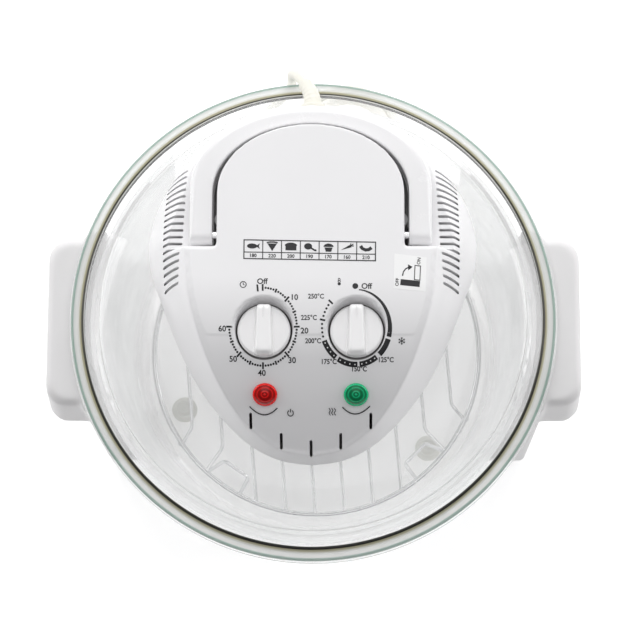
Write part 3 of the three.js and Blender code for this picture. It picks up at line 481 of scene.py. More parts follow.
def plastic(name, colour, rough=0.3, grain=900.0, grain_bump=0.03, mottle=0.02, coat=0.0, sss=0.0, spec=0.5, scuff=0.05):
    """Moulded plastic: faint cloudiness, fine grain, hairline scuffs that change only the gloss."""
    m = Mat(name)
    cloud = m.noise(14, 4, 0.55)
    m.join(m.p.inputs["Base Color"], m.ramp(cloud, [(0.3, scaled(colour, 1 - mottle)), (0.7, scaled(colour, 1 + mottle))]))
    fine, wide = m.noise(grain, 2, 0.6), m.noise(60, 5, 0.6)
    worn = m.span(wide, 0.55, 0.75, 0, scuff)
    m.join(m.p.inputs["Roughness"], m.math("ADD", m.span(fine, 0.3, 0.7, rough * 0.92, rough * 1.08), worn))
    m.join(m.p.inputs["Normal"], m.bump(fine, grain_bump, 0.0001, m.bump(m.noise(120, 2), 0.02, 0.0004)))
    m.p.inputs["Specular IOR Level"].default_value = spec
    m.p.inputs["Coat Weight"].default_value = coat
    m.p.inputs["Coat Roughness"].default_value = 0.2
    if sss:
        m.p.inputs["Subsurface Weight"].default_value = sss
        m.p.inputs["Subsurface Radius"].default_value = (0.004, 0.0035, 0.003)
        m.p.inputs["Subsurface Scale"].default_value = 1.0
    return m


def metal(name, colour, rough=0.28, brushed=None, mottle=0.04):
    """Steel: brushing along or around an axis, faint stains."""
    m = Mat(name)
    stain = m.noise(22, 5, 0.6)
    m.join(m.p.inputs["Base Color"], m.ramp(stain, [(0.3, scaled(colour, 1 - mottle)), (0.7, scaled(colour, 1 + mottle))]))
    m.p.inputs["Metallic"].default_value = 1
    mapping = m.node("Mapping")
    mapping.inputs["Scale"].default_value = {"z": (600, 600, 20), "x": (20, 600, 600), "round": (400, 400, 400)}.get(brushed, (300, 300, 300))
    m.join(mapping.inputs["Vector"], m.co)
    if brushed == "round":
        r = m.radius()
        c = m.node("CombineXYZ")
        m.join(c.inputs[0], m.math("MULTIPLY", r, 2200.0))
        lines = m.noise(1.0, 3, 0.6, c.outputs[0])
    else:
        lines = m.noise(1.0, 3, 0.6, mapping.outputs[0])
    m.join(m.p.inputs["Roughness"], m.span(lines, 0.3, 0.7, rough * 0.8, rough * 1.2))
    m.join(m.p.inputs["Normal"], m.bump(lines, 0.08, 0.00006))
    return m


def rubbery(name, colour, rough=0.6, mottle=0.05, sss=0.0):
    m = plastic(name, colour, rough, 1400, 0.1, mottle, 0, sss, 0.4, 0.1)
    return m


def thin_glass(name, face=(0.987, 0.988, 0.988), edge=(0.91, 0.95, 0.93), shine=0.7, haze_glow_amount=(0.10, 0.55), paint=None):
    """Clear glass wall: light passes unbent, greener where it is seen edge-on, with a Fresnel shine and a white haze,
    stronger edge-on, that carries a faint painted glow. May carry paint.
    """
    m = Mat(name)
    layer = m.node("LayerWeight")
    layer.inputs["Blend"].default_value = 0.5
    clear = m.node("BsdfTransparent")
    m.join(clear.inputs["Color"], m.mix(m.span(layer.outputs["Facing"], 0.60, 1.0, 0, 1, True), face, edge))
    gloss = m.node("BsdfAnisotropic")
    gloss.inputs["Color"].default_value = (1, 1, 1, 1)
    film = m.noise(9, 5, 0.65)
    m.join(gloss.inputs["Roughness"], m.span(film, 0.5, 0.8, 0.03, 0.10))
    m.join(gloss.inputs["Normal"], m.bump(m.noise(11, 2), 0.03, 0.003))
    fresnel = m.node("Fresnel")
    fresnel.inputs["IOR"].default_value = 1.5
    wall = m.node("MixShader")
    m.join(wall.inputs[0], m.math("MULTIPLY", fresnel.outputs[0], shine))
    m.join(wall.inputs[1], clear.outputs[0])
    m.join(wall.inputs[2], gloss.outputs[0])
    haze = m.node("BsdfDiffuse")
    haze.inputs["Color"].default_value = (0.94, 0.94, 0.942, 1)
    haze_and_glow = m.node("MixShader")
    smears = m.span(m.noise(7, 4, 0.6), 0.36, 0.66, 0.7, 1.35)
    m.join(haze_and_glow.inputs[0], m.math("MULTIPLY", m.span(layer.outputs["Facing"], 0.15, 0.95, *haze_glow_amount), smears))
    m.join(haze_and_glow.inputs[1], wall.outputs[0])
    # painted glow: a faint emission added to the white haze, so the glass looks brighter than its lighting makes it
    painted_glow = m.node("Emission")
    painted_glow.inputs["Color"].default_value = (1, 0.995, 1, 1)
    painted_glow.inputs["Strength"].default_value = 0.26
    both = m.node("AddShader")
    m.join(both.inputs[0], haze.outputs[0])
    m.join(both.inputs[1], painted_glow.outputs[0])
    m.join(haze_and_glow.inputs[2], both.outputs[0])
    last = haze_and_glow.outputs[0]
    if paint:
        colour, amount = paint(m)
        m.join(m.p.inputs["Base Color"], colour)
        m.p.inputs["Roughness"].default_value = 0.22
        mixer = m.node("MixShader")
        m.join(mixer.inputs[0], amount)
        m.join(mixer.inputs[1], last)
        m.join(mixer.inputs[2], m.p.outputs[0])
        last = mixer.outputs[0]
    m.join(m.out.inputs["Surface"], last)
    return m


# ------------------------------------------------------------------ the mains cord, first of all pieces
CORD_R = 3.5
SLEEVE_R, DROOP, BEND_R, FLAT_RUN = 40.0, math.radians(25), 30.0, 24.0
HEADING = math.radians(36)
AWAY = math.atan(2.0 / (SLEEVE_R * DROOP / 6))
tip = np.array([-6.0, 148.5 + SLEEVE_R * math.sin(DROOP), 232 - SLEEVE_R * (1 - math.cos(DROOP))])
bend_z = tip[2] - BEND_R * math.cos(DROOP)
outwards = np.array([-math.sin(AWAY), math.cos(AWAY), 0.0])
heading = np.array([math.cos(HEADING), math.sin(HEADING), 0.0])
slope = outwards * math.cos(DROOP) + (0, 0, -math.sin(DROOP))
route = [tip - slope * 3.0, tip + slope * 0.9]
for k in range(1, 9):
    t = (math.pi / 2 - DROOP) * (1 - k / 8)
    route.append(tip * (1, 1, 0) + outwards * BEND_R * (math.cos(t) - math.sin(DROOP)) + (0, 0, bend_z + BEND_R * math.sin(t)))
fall_top, fall_end = route[-1] * (1, 1, 0), np.array([-44.0, 186.0, 0.0])
for z in (172, 144, 116, 88, 60, 44):
    route.append(fall_top + (fall_end - fall_top) * float(smoothstep(195, 45, z)) + (0, 0, z))
for k in range(9):
    f = math.radians(90) * k / 8
    route.append(fall_end + (0, 0, 33.55 - BEND_R * math.sin(f)) + heading * BEND_R * (1 - math.cos(f)))
for d in (8, 16):
    route.append(fall_end + (0, 0, 3.55) + heading * (BEND_R + d))
# the coil, clockwise from above: out and in on the table, up a layer, in and out again
COIL_R, COIL_IN, LAYER = 42.0, 34.9, 7.05
land = fall_end + heading * (BEND_R + FLAT_RUN)
coil_at = land + COIL_R * np.array([math.sin(HEADING), -math.cos(HEADING), 0])
arrive = math.degrees(math.atan2(land[1] - coil_at[1], land[0] - coil_at[0]))
TURNS = 3 + (arrive - 25) / 360
PLUG_Z = 18.9
for k in range(0, int(TURNS * 26)):
    turn = k / 26
    r = COIL_R - (COIL_R - COIL_IN) * (smoothstep(0.72, 1.0, turn) - smoothstep(2.36, 2.68, turn))
    z = 3.55 + LAYER * smoothstep(1.50, 1.90, turn)
    a = math.radians(arrive) - 2 * math.pi * turn
    route.append(coil_at + np.array([r * math.cos(a), r * math.sin(a), z]))
leave = coil_at + COIL_R * np.array([math.cos(math.radians(25)), math.sin(math.radians(25)), 0])
tail_dir = np.array([math.sin(math.radians(25)), -math.cos(math.radians(25)), 0])
plug_at = leave + tail_dir * 32 + np.array([0, 0, PLUG_Z])
for d in (0, 8, 16, 24, 31, 36):
    route.append(leave + tail_dir * d + np.array([0, 0, 3.55 + LAYER + (PLUG_Z - 3.55 - LAYER) * smoothstep(-14, 32, d)]))
route = np.array(smooth_line(route, 5))

cord = tube("cord", route, CORD_R, 14)

# the plug: a round moulded body with a ribbed sleeve and two round pins, lying beside the coil
plug_side = np.array([-tail_dir[1], tail_dir[0], 0])
plug_up = np.cross(tail_dir, plug_side)


def at_plug(ob):
    m = Matrix(((plug_side[0], plug_up[0], tail_dir[0], plug_at[0] * MM), (plug_side[1], plug_up[1], tail_dir[1], plug_at[1] * MM), (plug_side[2], plug_up[2], tail_dir[2], plug_at[2] * MM), (0, 0, 0, 1)))
    ob.data.transform(m)
    ob.data.update()
    return ob


sleeve = [(0, -1.2), (4.5, -1.2)]
for k in range(7):
    z, r = 1.6 + 3.2 * k, 4.7 + 0.26 * k
    sleeve += [(r, z - 1.2), (r + 0.25, z), (r + 0.25, z + 0.9), (r - 0.55, z + 1.5), (r - 0.55, z + 1.9)]
body_profile = rounded([(6.6, 24), (12, 28), (18.1, 37), (18.4, 39.2), (18.4, 54.6), (17.4, 55.9), (0, 55.9)], 1.4, 4, closed=False)
plug = at_plug(lathe("plug_body", sleeve + list(body_profile), 64))
pins = []
for s in (-1, 1):
    pin = rounded([(0, 50), (2.4, 50), (2.4, 74), (1.5, 74.9), (0, 74.9)], 0.5, 3, closed=False)
    pins.append(lathe("plug_pin", pin, 32, at=(s * 9.5, 0, 0)))
pins = at_plug(joined("plug_pins", pins))

# strain relief: a collar on the rear wall and a ribbed sleeve that droops
relief_path, relief_r = [], []
for k in range(0, 41):
    u = k / 40
    t = DROOP * u
    relief_path.append((-6.0 * u * u, 148.5 + SLEEVE_R * math.sin(t), 232 - SLEEVE_R * (1 - math.cos(t))))
    rib = 0.24 * max(0.0, math.sin(u * math.pi * 2 * 6 - 0.6)) if 0.06 < u < 0.95 else 0.12
    relief_r.append(6.3 - 1.5 * u + rib)
relief_sleeve = tube("relief_sleeve", relief_path, 6, 32, radii=relief_r)
collar = lathe("relief_collar", rounded([(0, -9.5), (8.2, -9.5), (8.2, -8), (6.7, -8), (6.7, 2.2), (8.7, 2.6), (8.7, 4.8), (6.2, 5.9), (0, 5.9)], 0.7, 3, closed=False), 48)
collar.data.transform(Matrix.Translation((0, 0.1435, 0.232)) @ Matrix.Rotation(-math.pi / 2, 4, "X"))
relief = joined("cord_relief", [collar, relief_sleeve])

# ------------------------------------------------------------------ materials
WHITE = (0.86, 0.855, 0.865)
housing_mat = plastic("gloss_housing", WHITE, 0.34, 700, 0.03, 0.012, coat=0.16, spec=0.45)
# painted shade: the housing's colour goes near black in a thin ring around each dial, where the gap between dial and
# well lies in shadow
place = housing_mat.node("SeparateXYZ")
housing_mat.join(place.inputs[0], housing_mat.co)
beside = housing_mat.math("ADD", housing_mat.math("ABSOLUTE", place.outputs[0]), -KNOB_X * MM)
before = housing_mat.math("ADD", place.outputs[1], -KNOB_Y * MM)
apart = housing_mat.math("SQRT", housing_mat.math("ADD", housing_mat.math("MULTIPLY", beside, beside), housing_mat.math("MULTIPLY", before, before)))
unshaded_colour = housing_mat.p.inputs["Base Color"].links[0].from_socket
housing_mat.join(housing_mat.p.inputs["Base Color"], housing_mat.mix(housing_mat.span(apart, 0.0186, 0.0193, 1, 0, True), unshaded_colour, (0.10, 0.095, 0.095)))
handle_mat = plastic("gloss_handle", (0.86, 0.855, 0.865), 0.25, 700, 0.03, 0.012, coat=0.35)
knob_mat = plastic("gloss_dial", (0.85, 0.845, 0.85), 0.22, 900, 0.02, 0.01, coat=0.4)
stand_mat = plastic("satin_stand", (0.78, 0.77, 0.775), 0.42, 500, 0.06, 0.015)
# painted light: inside the dish the stand is lightened to near white and given a faint glow, standing in for light that
# the head's shadow keeps off
inside = stand_mat.span(stand_mat.radius(), 0.138, 0.152, 1, 0)
tinted = stand_mat.p.inputs["Base Color"].links[0].from_socket
stand_mat.join(stand_mat.p.inputs["Base Color"], stand_mat.mix(inside, tinted, (0.96, 0.96, 0.955)))
stand_mat.p.inputs["Emission Color"].default_value = (1, 1, 1, 1)
stand_mat.join(stand_mat.p.inputs["Emission Strength"], stand_mat.math("MULTIPLY", inside, 0.2))
# painted shade: the head's floor is a mid grey, darker than the white housing, standing in for the dimness inside the
# head
dim_inside_mat = plastic("inside_plastic", (0.55, 0.55, 0.55), 0.5, 500, 0.05)
bowl_glass = thin_glass("bowl_glass")
quartz_mat = thin_glass("quartz", (0.93, 0.92, 0.90), (0.62, 0.61, 0.6), 1.0, (0.05, 0.2))
wire_mat = metal("rack_wire", (0.86, 0.865, 0.87), 0.24, None)
pan_mat = metal("pan_steel", (0.72, 0.72, 0.73), 0.3, "round")
zinc_mat = metal("zinc_steel", (0.52, 0.53, 0.55), 0.42, None, 0.08)
fan_mat = metal("fan_steel", (0.66, 0.66, 0.67), 0.33, "round")
foot_mat = rubbery("foot_rubber", (0.035, 0.035, 0.038), 0.75)
pad_mat = rubbery("pad_silicone", (0.70, 0.71, 0.64), 0.42, 0.03, sss=0.15)
gasket_mat = rubbery("gasket_silicone", (0.6, 0.61, 0.58), 0.5)
ceramic_mat = plastic("ceramic", (0.76, 0.73, 0.66), 0.7, 300, 0.15, 0.05)
wool_mat = plastic("mineral_fibre", (0.72, 0.69, 0.6), 0.95, 260, 0.6, 0.12)
phenolic_mat = plastic("phenolic", (0.03, 0.028, 0.026), 0.45, 600, 0.1, 0.1)
copper_mat = metal("copper_winding", (0.6, 0.27, 0.12), 0.35, "z")
cord_mat = plastic("cord_pvc", (0.80, 0.785, 0.71), 0.42, 1200, 0.08, 0.02, sss=0.05)
plug_mat = plastic("plug_pvc", (0.78, 0.765, 0.70), 0.45, 900, 0.08, 0.02)
ink_mat = plastic("black_print", (0.012, 0.012, 0.014), 0.42, 2500, 0.15, 0.1)
sticker_mat = plastic("paper_label", (0.93, 0.93, 0.93), 0.45, 1500, 0.04, 0.01)
label_mat = plastic("white_label", (0.86, 0.86, 0.86), 0.38, 1500, 0.04, 0.01)
fan_plastic_mat = plastic("fan_plastic", (0.66, 0.64, 0.57), 0.5, 500, 0.05)


def rim_bands(m):
    """The lid's ring, painted on by distance from the axis: black, khaki, then milky out to a green edge."""
    wobble = m.math("MULTIPLY", m.math("SUBTRACT", m.noise(30, 2), 0.5), 0.0003)
    x = m.span(m.math("ADD", m.radius(), wobble), 0.1600, 0.1720)
    colour = m.ramp(x, [(0.0, (0.012, 0.013, 0.012)), (0.405, (0.012, 0.013, 0.012)), (0.43, (0.30, 0.28, 0.17)), (0.52, (0.48, 0.46, 0.33)), (0.58, (0.72, 0.72, 0.66)), (0.66, (0.86, 0.87, 0.85)), (0.86, (0.86, 0.87, 0.85)), (0.915, (0.28, 0.42, 0.35)), (1.0, (0.20, 0.34, 0.28))])
    amount = m.ramp(x, [(0.0, (0, 0, 0)), (0.245, (0, 0, 0)), (0.265, (1, 1, 1)), (0.55, (0.96, 0.96, 0.96)), (0.62, (0.55, 0.55, 0.55)), (0.86, (0.42, 0.42, 0.42)), (0.92, (0.6, 0.6, 0.6)), (1.0, (0.6, 0.6, 0.6))])
    return colour, amount


def lens_material(name, side, deep, bright, glow):
    """Translucent coloured lens: dark in the middle, with a painted highlight spot at its very centre, lighter painted
    rings where its moulded rings catch the light, and a painted highlight at its rim.
    """
    m = Mat(name)
    s = m.node("SeparateXYZ")
    m.join(s.inputs[0], m.co)
    dx = m.math("ADD", s.outputs[0], -side * LAMP_X * MM)
    dy = m.math("MULTIPLY", m.math("ADD", s.outputs[1], -LAMP_Y * MM + 0.0008), 1.17)
    r = m.math("SQRT", m.math("ADD", m.math("MULTIPLY", dx, dx), m.math("MULTIPLY", dy, dy)))
    x = m.span(m.math("ADD", r, m.math("MULTIPLY", m.noise(260, 3), 0.0003)), 0.0, 0.0086)
    # painted highlights: a bright spot at the centre and a bright rim; painted light in the lighter rings between
    m.join(m.p.inputs["Base Color"], m.ramp(x, [(0.0, bright), (0.10, bright), (0.15, scaled(deep, 0.6)), (0.22, deep), (0.27, bright), (0.31, bright), (0.36, deep), (0.46, scaled(deep, 0.7)), (0.56, deep), (0.64, bright), (0.70, deep), (0.80, deep), (0.87, scaled(bright, 1.3)), (1.0, bright)]))
    m.p.inputs["Roughness"].default_value = 0.16
    m.p.inputs["Specular IOR Level"].default_value = 0.3
    m.p.inputs["Coat Weight"].default_value = 0.12
    m.p.inputs["Coat Roughness"].default_value = 0.04
    m.p.inputs["Subsurface Weight"].default_value = 0.12
    m.p.inputs["Subsurface Radius"].default_value = glow
    m.p.inputs["Subsurface Scale"].default_value = 0.002
    m.join(m.p.inputs["Normal"], m.bump(m.noise(500, 2), 0.05, 0.0001))
    return m


lid_glass = thin_glass("lid_glass", paint=rim_bands)


def finish_piece(ob, mat, body, nodes_for=()):
    ob.data.materials.clear()
    ob.data.materials.append(mat.m)
    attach(ob, body)
    if nodes_for:
        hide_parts(*nodes_for)
    return ob


# cord, plug and relief
cord.data.materials.append(cord_mat.m)
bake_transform(cord)
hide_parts("power_cord_run", "power_cord_coil")
finish_piece(plug, plug_mat, "bowl", ("mains_plug",))
finish_piece(pins, metal("plug_pins", (0.72, 0.71, 0.68), 0.2, None), "bowl", ())
finish_piece(relief, cord_mat, "head", ("strain_relief",))

# ------------------------------------------------------------------ bowl and lid
bowl_inner = [(0, 31), (116, 31), (131, 35.6), (141.2, 48), (143.2, 60), (155, 194), (156.2, RIM_Z)]
bowl_outer = [(0, 26), (117, 26), (134, 31.2), (145.6, 45.4), (148.2, 60), (159.6, 195), (BOWL_R - 1, 195), (BOWL_R, 196.2), (BOWL_R, 199), (BOWL_R - 1.2, RIM_Z)]
radii = [0, 30, 26, 24, 40, 1.2, 1.2] + [0, 26, 30, 26, 40, 2.4, 0.8, 0.8, 0.8, 0.8][::-1]
profile = bowl_inner + bowl_outer[::-1]
bowl = lathe("oven_bowl", rounded(profile, radii, 8), 256)
finish_piece(bowl, bowl_glass, "bowl", ("glass_bowl",))

dome = [(r, float(lid_z(r))) for r in np.linspace(96, 162.2, 22)]
lid_top = [(80, 228), (88, 228)] + dome + [(164.4, 205.9), (LID_R - 1, 205.2), (LID_R, 204), (LID_R, RIM_Z + 0.3)]
lid_under = [(156, RIM_Z + 0.3), (153.8, 195.3), (151.4, 195.3), (150.6, 205.2)] + [(r, z - 5) for r, z in dome[:19]][::-1] + [(88, 223), (80, 223)]
profile = lid_top + lid_under
radii = [0.8, 2] + [3] * len(dome) + [1.4, 1.0, 0.8, 0.3] + [0.3, 0.8, 0.8, 2.0] + [3] * 19 + [2, 0.8]
lid = lathe("oven_lid", rounded(profile, radii, 4), 256)
finish_piece(lid, lid_glass, "head", ("glass_lid",))


# ------------------------------------------------------------------ stand, feet and pads
def rounded_rect(hx, hy, r, n=8):
    pts = []
    for cx, cy, a0 in ((hx - r, hy - r, 0), (-hx + r, hy - r, 90), (-hx + r, -hy + r, 180), (hx - r, -hy + r, 270)):
        for k in range(n + 1):
            a = math.radians(a0 + 90 * k / n)
            pts.append((cx + r * math.cos(a), cy + r * math.sin(a)))
    return np.array(pts)


def drum(name, r, z0, z1, at=(0, 0), segments=32):
    return lathe(name, [(0, z0), (r, z0), (r, z1), (0, z1)], segments, at=(at[0], at[1], 0), smooth=False)


def upright_y(z):
    return 80 - 14 * (z - 5) / 185


def uprights(inset, z0, z1):
    return stack("uprights", [np.c_[rounded_rect(166 - inset, upright_y(z) - inset, 5 - inset), np.full(36, z)] for z in (z0, z1)])


def grip(side, inset, z0, z1, chamfer):
    levels = [(z0, 0), (z1 - 4, 0), (z1, 3)] if chamfer else [(z0, 0), (z1, 0)]
    rings = []
    for z, c in levels:
        half_y = 60 + 8 * (190 - z) / 35 - inset - c
        half_x = (193.5 - 1.5 * (z - 155) / 35 - 140) / 2 - inset / 2 - c / 2
        o = rounded_rect(half_x, half_y, 15 - inset * 0.6)
        rings.append(np.c_[side * (o[:, 0] + 140 + half_x), o[:, 1], np.full(len(o), z)])
    return stack("grip", rings)


def between(half_x, z0):
    return box("between", -half_x, half_x, -100, 100, z0, 300)


def envelope(g, segments=192):
    return lathe("envelope", [(0, 15 - g), (128 + g * 0.6, 15 - g), (150 + g, 52 - g * 0.3), (150.2 + g, 60), (160.9 + g, 190), (161.5 + g, 260), (0, 260)], segments)


stand = uprights(0, 5, 190)
boolean(stand, grip(1, 0, 153, 190, True), "UNION")
boolean(stand, grip(-1, 0, 153, 190, True), "UNION")
boolean(stand, between(150, 18))
boolean(stand, lathe("dish", [(0, 5), (130, 5), (136, 30.4), (0, 30.4)], 192), "UNION")
boolean(stand, envelope(0))
stand.name = "oven_stand"
soften(stand, 1.5, 8)
underside = uprights(3, -5, 148)
boolean(underside, between(153, 15))
boolean(underside, lathe("dish_hollow", [(0, -5), (126.6, -5), (131, 20), (0, 20)], 128), "UNION")
boolean(underside, envelope(3, 128))
boolean(stand, underside)
for side in (1, -1):
    hollow = grip(side, 3.4, 140, 186.4, False)
    boolean(hollow, uprights(-0.01, 100, 200))
    boolean(hollow, between(153, 100))
    boolean(stand, hollow)
for sx in (1, -1):
    for sy in (1, -1):
        boolean(stand, drum("boss", 10.5, 5, 13.5, (sx * 105, sy * 58), 48), "UNION")
by_angle(stand, 32)
finish_piece(stand, stand_mat, "base", ("base_stand",))
for i, (sx, sy) in enumerate(((1, -1), (-1, -1), (-1, 1), (1, 1))):
    foot = rounded([(0, 0), (8.4, 0), (9.6, 1.3), (9.6, 4.7), (0, 4.7)], 0.8, 4, closed=False)
    foot = lathe(f"rubber_foot_{i + 1}", [(3.2, 0.7), (3.4, 0)] + list(foot[1:-1]) + [(0, 4.7), (0, 0.7)], 64, at=(sx * 105, sy * 58, 0))
    finish_piece(foot, foot_mat, "base", (f"foot_{i + 1}",))
for i, a in enumerate((81, 201, 321)):
    pad = [(0, 0), (9.7, 0), (10, 0.3), (10, 2.1), (9.6, 2.5), (7.3, 3), (7, 3.4), (7, 9.9), (6.7, 10.3), (5.6, 10.4), (5.3, 9.8), (4.5, 9.8), (4.2, 10.4), (2.6, 10.4), (2.3, 9.8), (1.5, 9.8), (1.2, 10.4), (0, 10.4)]
    a = math.radians(a)
    pad = lathe(f"silicone_pad_{i + 1}", pad, 64, at=(113 * math.cos(a), 113 * math.sin(a), 15.3))
    by_angle(pad, 40)
    finish_piece(pad, pad_mat, "base", (f"bowl_pad_{i + 1}",))

# ------------------------------------------------------------------ rack
RACK_R, RACK_Z, RACK_TURN = 127.0, 52.0, math.radians(5)
rack = tube("oven_rack", [(RACK_R * math.cos(a), RACK_R * math.sin(a), 0) for a in np.arange(160) * math.pi / 80], 2.0, 16, closed=True)


def bent(pts, r, wire, name="wire", sides=14):
    """A wire through points with its corners bent to that radius."""
    return tube(name, rounded(pts, r, 6, closed=False), wire, sides)


for i in range(10):
    x, off = (i - 4.5) * 22.5, abs(i - 4.5)
    s = 1 if x > 0 else -1
    out, y1 = (11, 50) if off > 4 else (13, 68) if off > 3 else (0, 68)
    reach = math.sqrt(126.5**2 - (x + s * out) ** 2)
    pts = [(x + s * out, -reach, 0), (x + s * out, -y1 - 16, 0), (x, -y1, 0), (x, y1, 0), (x + s * out, y1 + 16, 0), (x + s * out, reach, 0)] if out else [(x, -reach, 0), (x, -10, 0), (x, 10, 0), (x, reach, 0)]
    boolean(rack, bent(pts, 9, 1.35), "UNION")
for a in (50, 130, 230, 310):
    def spot(r, d, z):
        t = math.radians(a + d)
        return (r * math.cos(t), r * math.sin(t), z)

    boolean(rack, bent([spot(RACK_R, -7, 0), spot(110, -6, -19.1), spot(110, 6, -19.1), spot(RACK_R, 7, 0)], 4, 1.5), "UNION")
rack.data.transform(Matrix.Translation((0, 0, RACK_Z * MM)) @ Matrix.Rotation(RACK_TURN, 4, "Z"))
by_angle(rack, 50)
finish_piece(rack, wire_mat, "rack", ("wire_rack",))

# ------------------------------------------------------------------ the head's housing
SKIRT_PTS = [(0, -110), (22, -106.5), (42, -97), (60, -81), (77, -60), (90, -38), (101, -13), (109, 8), (115, 24), (118, 42), (116.5, 60), (110, 79), (98, 98), (81, 116), (60, 131), (34, 142), (0, 146)]
CREASE_PTS = [(0, -104), (21.5, -100), (41.8, -86), (55, -70), (65.5, -50), (73, -30), (78.6, -10), (81.8, 10), (83.4, 26), (84.2, 42), (84.2, 58), (83, 74), (77.5, 92), (66, 108), (49, 121), (27, 129.5), (0, 132)]


def mirrored(pts):
    half = np.array(smooth_line(pts, 6))
    return np.concatenate([half, half[1:-1][::-1] * (-1, 1)])


SKIRT, CREASE = mirrored(SKIRT_PTS), mirrored(CREASE_PTS)


def out_of(line):
    d = np.roll(line, -1, 0) - np.roll(line, 1, 0)
    n = np.c_[d[:, 1], -d[:, 0]]
    return n / np.linalg.norm(n, axis=1)[:, None]


def head_block(name, inset=0.0, top_drop=0.0, ledge_cap=None, below=None):
    rings, sn, cn = [], out_of(SKIRT), out_of(CREASE)
    zc = crease_z(CREASE[:, 1]) - top_drop
    if ledge_cap:
        zc = np.where(CREASE[:, 1] > POCKET_Y - 3, np.minimum(zc, ledge_cap), zc)
    heights = [1 - (1 - t) ** 1.7 for t in np.linspace(0, 1, 26)]
    for v in heights:
        q = (1 - v**SIDE_POWER) ** (1 / SIDE_POWER)
        ring = np.c_[CREASE + (SKIRT - CREASE) * q - sn * inset, SKIRT_Z + (zc - SKIRT_Z) * v]
        rings.append(ring)
    if not inset:
        for w in (0.35, 0.7, 1.0):
            rings.append(np.c_[CREASE - cn * 2.2 * w, crease_z(CREASE[:, 1]) - 1.6 * (1 - w) ** 1.6])
        rings[len(heights) - 1][:, 2] -= 1.6
    if below is not None:
        rings.insert(0, np.c_[rings[0][:, :2], np.full(len(SKIRT), below)])
    n, m = len(SKIRT), len(rings)
    verts = np.concatenate(rings)
    faces = []
    for k in range(m - 1):
        for i in range(n):
            a, b = k * n + i, k * n + (i + 1) % n
            faces.append((a, b, b + n, a + n))
    faces.append(tuple(reversed(range(n))))
    t = (m - 1) * n
    for k in range(n // 2):
        r0, r1, l0, l1 = t + k, t + k + 1, t + (n - k) % n, t + (n - k - 1) % n
        f = [r0, r1, l1, l0]
        faces.append([x for j, x in enumerate(f) if x != f[j - 1]])
    return outward(new_mesh(name, verts, faces))


def tongue_outline(half_x, rear_y, front_y, bulge, n=48):
    y0 = rear_y - bulge
    arc = [(half_x * math.cos(math.pi * k / n), y0 + bulge * math.sin(math.pi * k / n)) for k in range(n + 1)]
    return np.array([(half_x, front_y), *arc, (-half_x, front_y)])


housing = head_block("oven_head")
boolean(housing, box("ledge", -150, 150, POCKET_Y, 170, LEDGE_Z, 330))
boolean(housing, prism("tongue", tongue_outline(63, 115.5, 19, 47), LEDGE_Z - 12, TOP_Z), "UNION")
for s in (-1, 1):
    turn = np.arange(128) * math.pi / 64
    well = [np.c_[r * np.cos(turn) + s * KNOB_X, r * np.sin(turn) + KNOB_Y + dy, np.full(128, z)] for r, dy, z in ((18.7, 0, KNOB_FLOOR), (20.5, 2.5, 304))]
    boolean(housing, stack("well", well))
soften(housing, 1.0, 8)
skin_co = coords(housing)
top_of = top_z(skin_co[:, 1] / MM) * MM
on_top = np.abs(skin_co[:, 2] - top_of) < 0.00022
skin_co[on_top, 2] = top_of[on_top]
set_coords(housing, skin_co)

# hollow inside, with the cups under the two dials left standing
room = head_block("room", 3, 3, LEDGE_Z - 3, 190)
boolean(room, prism("tongue_room", tongue_outline(60, 112.5, 12, 45), 255, TOP_Z - 3), "UNION")
for s in (-1, 1):
    boolean(room, drum("cup", 24.5, 286.1, 310, (s * KNOB_X, KNOB_Y), 64))
boolean(housing, room)
gap = prism("gap", tongue_outline(66.2, 117.2, 34, 48.5), 268, LEDGE_Z + 1)
boolean(gap, prism("gap_inner", tongue_outline(63.2, 115.7, 30, 47), 260, 295))
boolean(gap, box("gap_rear", -100, 100, 98, 130, 260, 295))
boolean(housing, gap)
cuts = []
lamp_slope = math.atan(2 * (TOP_BEND_Y - LAMP_Y) / TOP_FALL)
lamp_z = float(top_z(LAMP_Y))
for s in (-1, 1):
    hole = drum("hole", LAMP_R + 0.3, -14, 14, (0, 0), 48)
    hole.data.transform(Matrix.Translation((s * LAMP_X * MM, LAMP_Y * MM, lamp_z * MM)) @ Matrix.Rotation(lamp_slope, 4, "X"))
    cuts.append(hole)
    cuts.append(drum("shaft_hole", 4.6, 270, 300, (s * KNOB_X, KNOB_Y), 32))
for x, y in ((0, -99.5), (20.2, -95), (-20.2, -95), (40.6, -82.5), (-40.6, -82.5)):
    cuts.append(prism("slot", rounded_rect(1, 5.2, 0.98, 5) + (x, y), 236, 300))
for i in range(18):
    t = i / 17
    y, xi = 8 + 81 * t, 89 - 4.5 * t
    for s in (-1, 1):
        cuts.append(prism("louvre", rounded_rect((101.5 - xi) / 2, 0.95, 0.9, 5) + (s * (101.5 + xi) / 2, y), 232, 300))
for i in range(6):
    cuts.append(drum("vent", 0.75 + 0.14 * i, 225, 285, (25.5 + 5 * i, 138.3 - 0.6 * i - 0.13 * i * i), 20))
pin = drum("pin_hole", 3.1, -70, 70, (0, 0), 32)
pin.data.transform(Matrix.Translation((0, PIVOT_Y * MM, PIVOT_Z * MM)) @ Matrix.Rotation(math.pi / 2, 4, "Y"))
boolean(housing, pin)
gland = drum("gland", 7.2, 110, 170, (0, 0), 48)
gland.data.transform(Matrix.Translation((0, 0, 0.232)) @ Matrix.Rotation(-math.pi / 2, 4, "X"))
boolean(housing, gland)
for c in cuts:
    boolean(housing, c)
roof = [(0, 150), (175, 150), (175, 205.8)] + [(r, float(lid_z(r)) + 0.5) for r in np.linspace(162.6, 96, 16)] + [(0, 228.5)]
boolean(housing, lathe("lid_room", roof, 192))
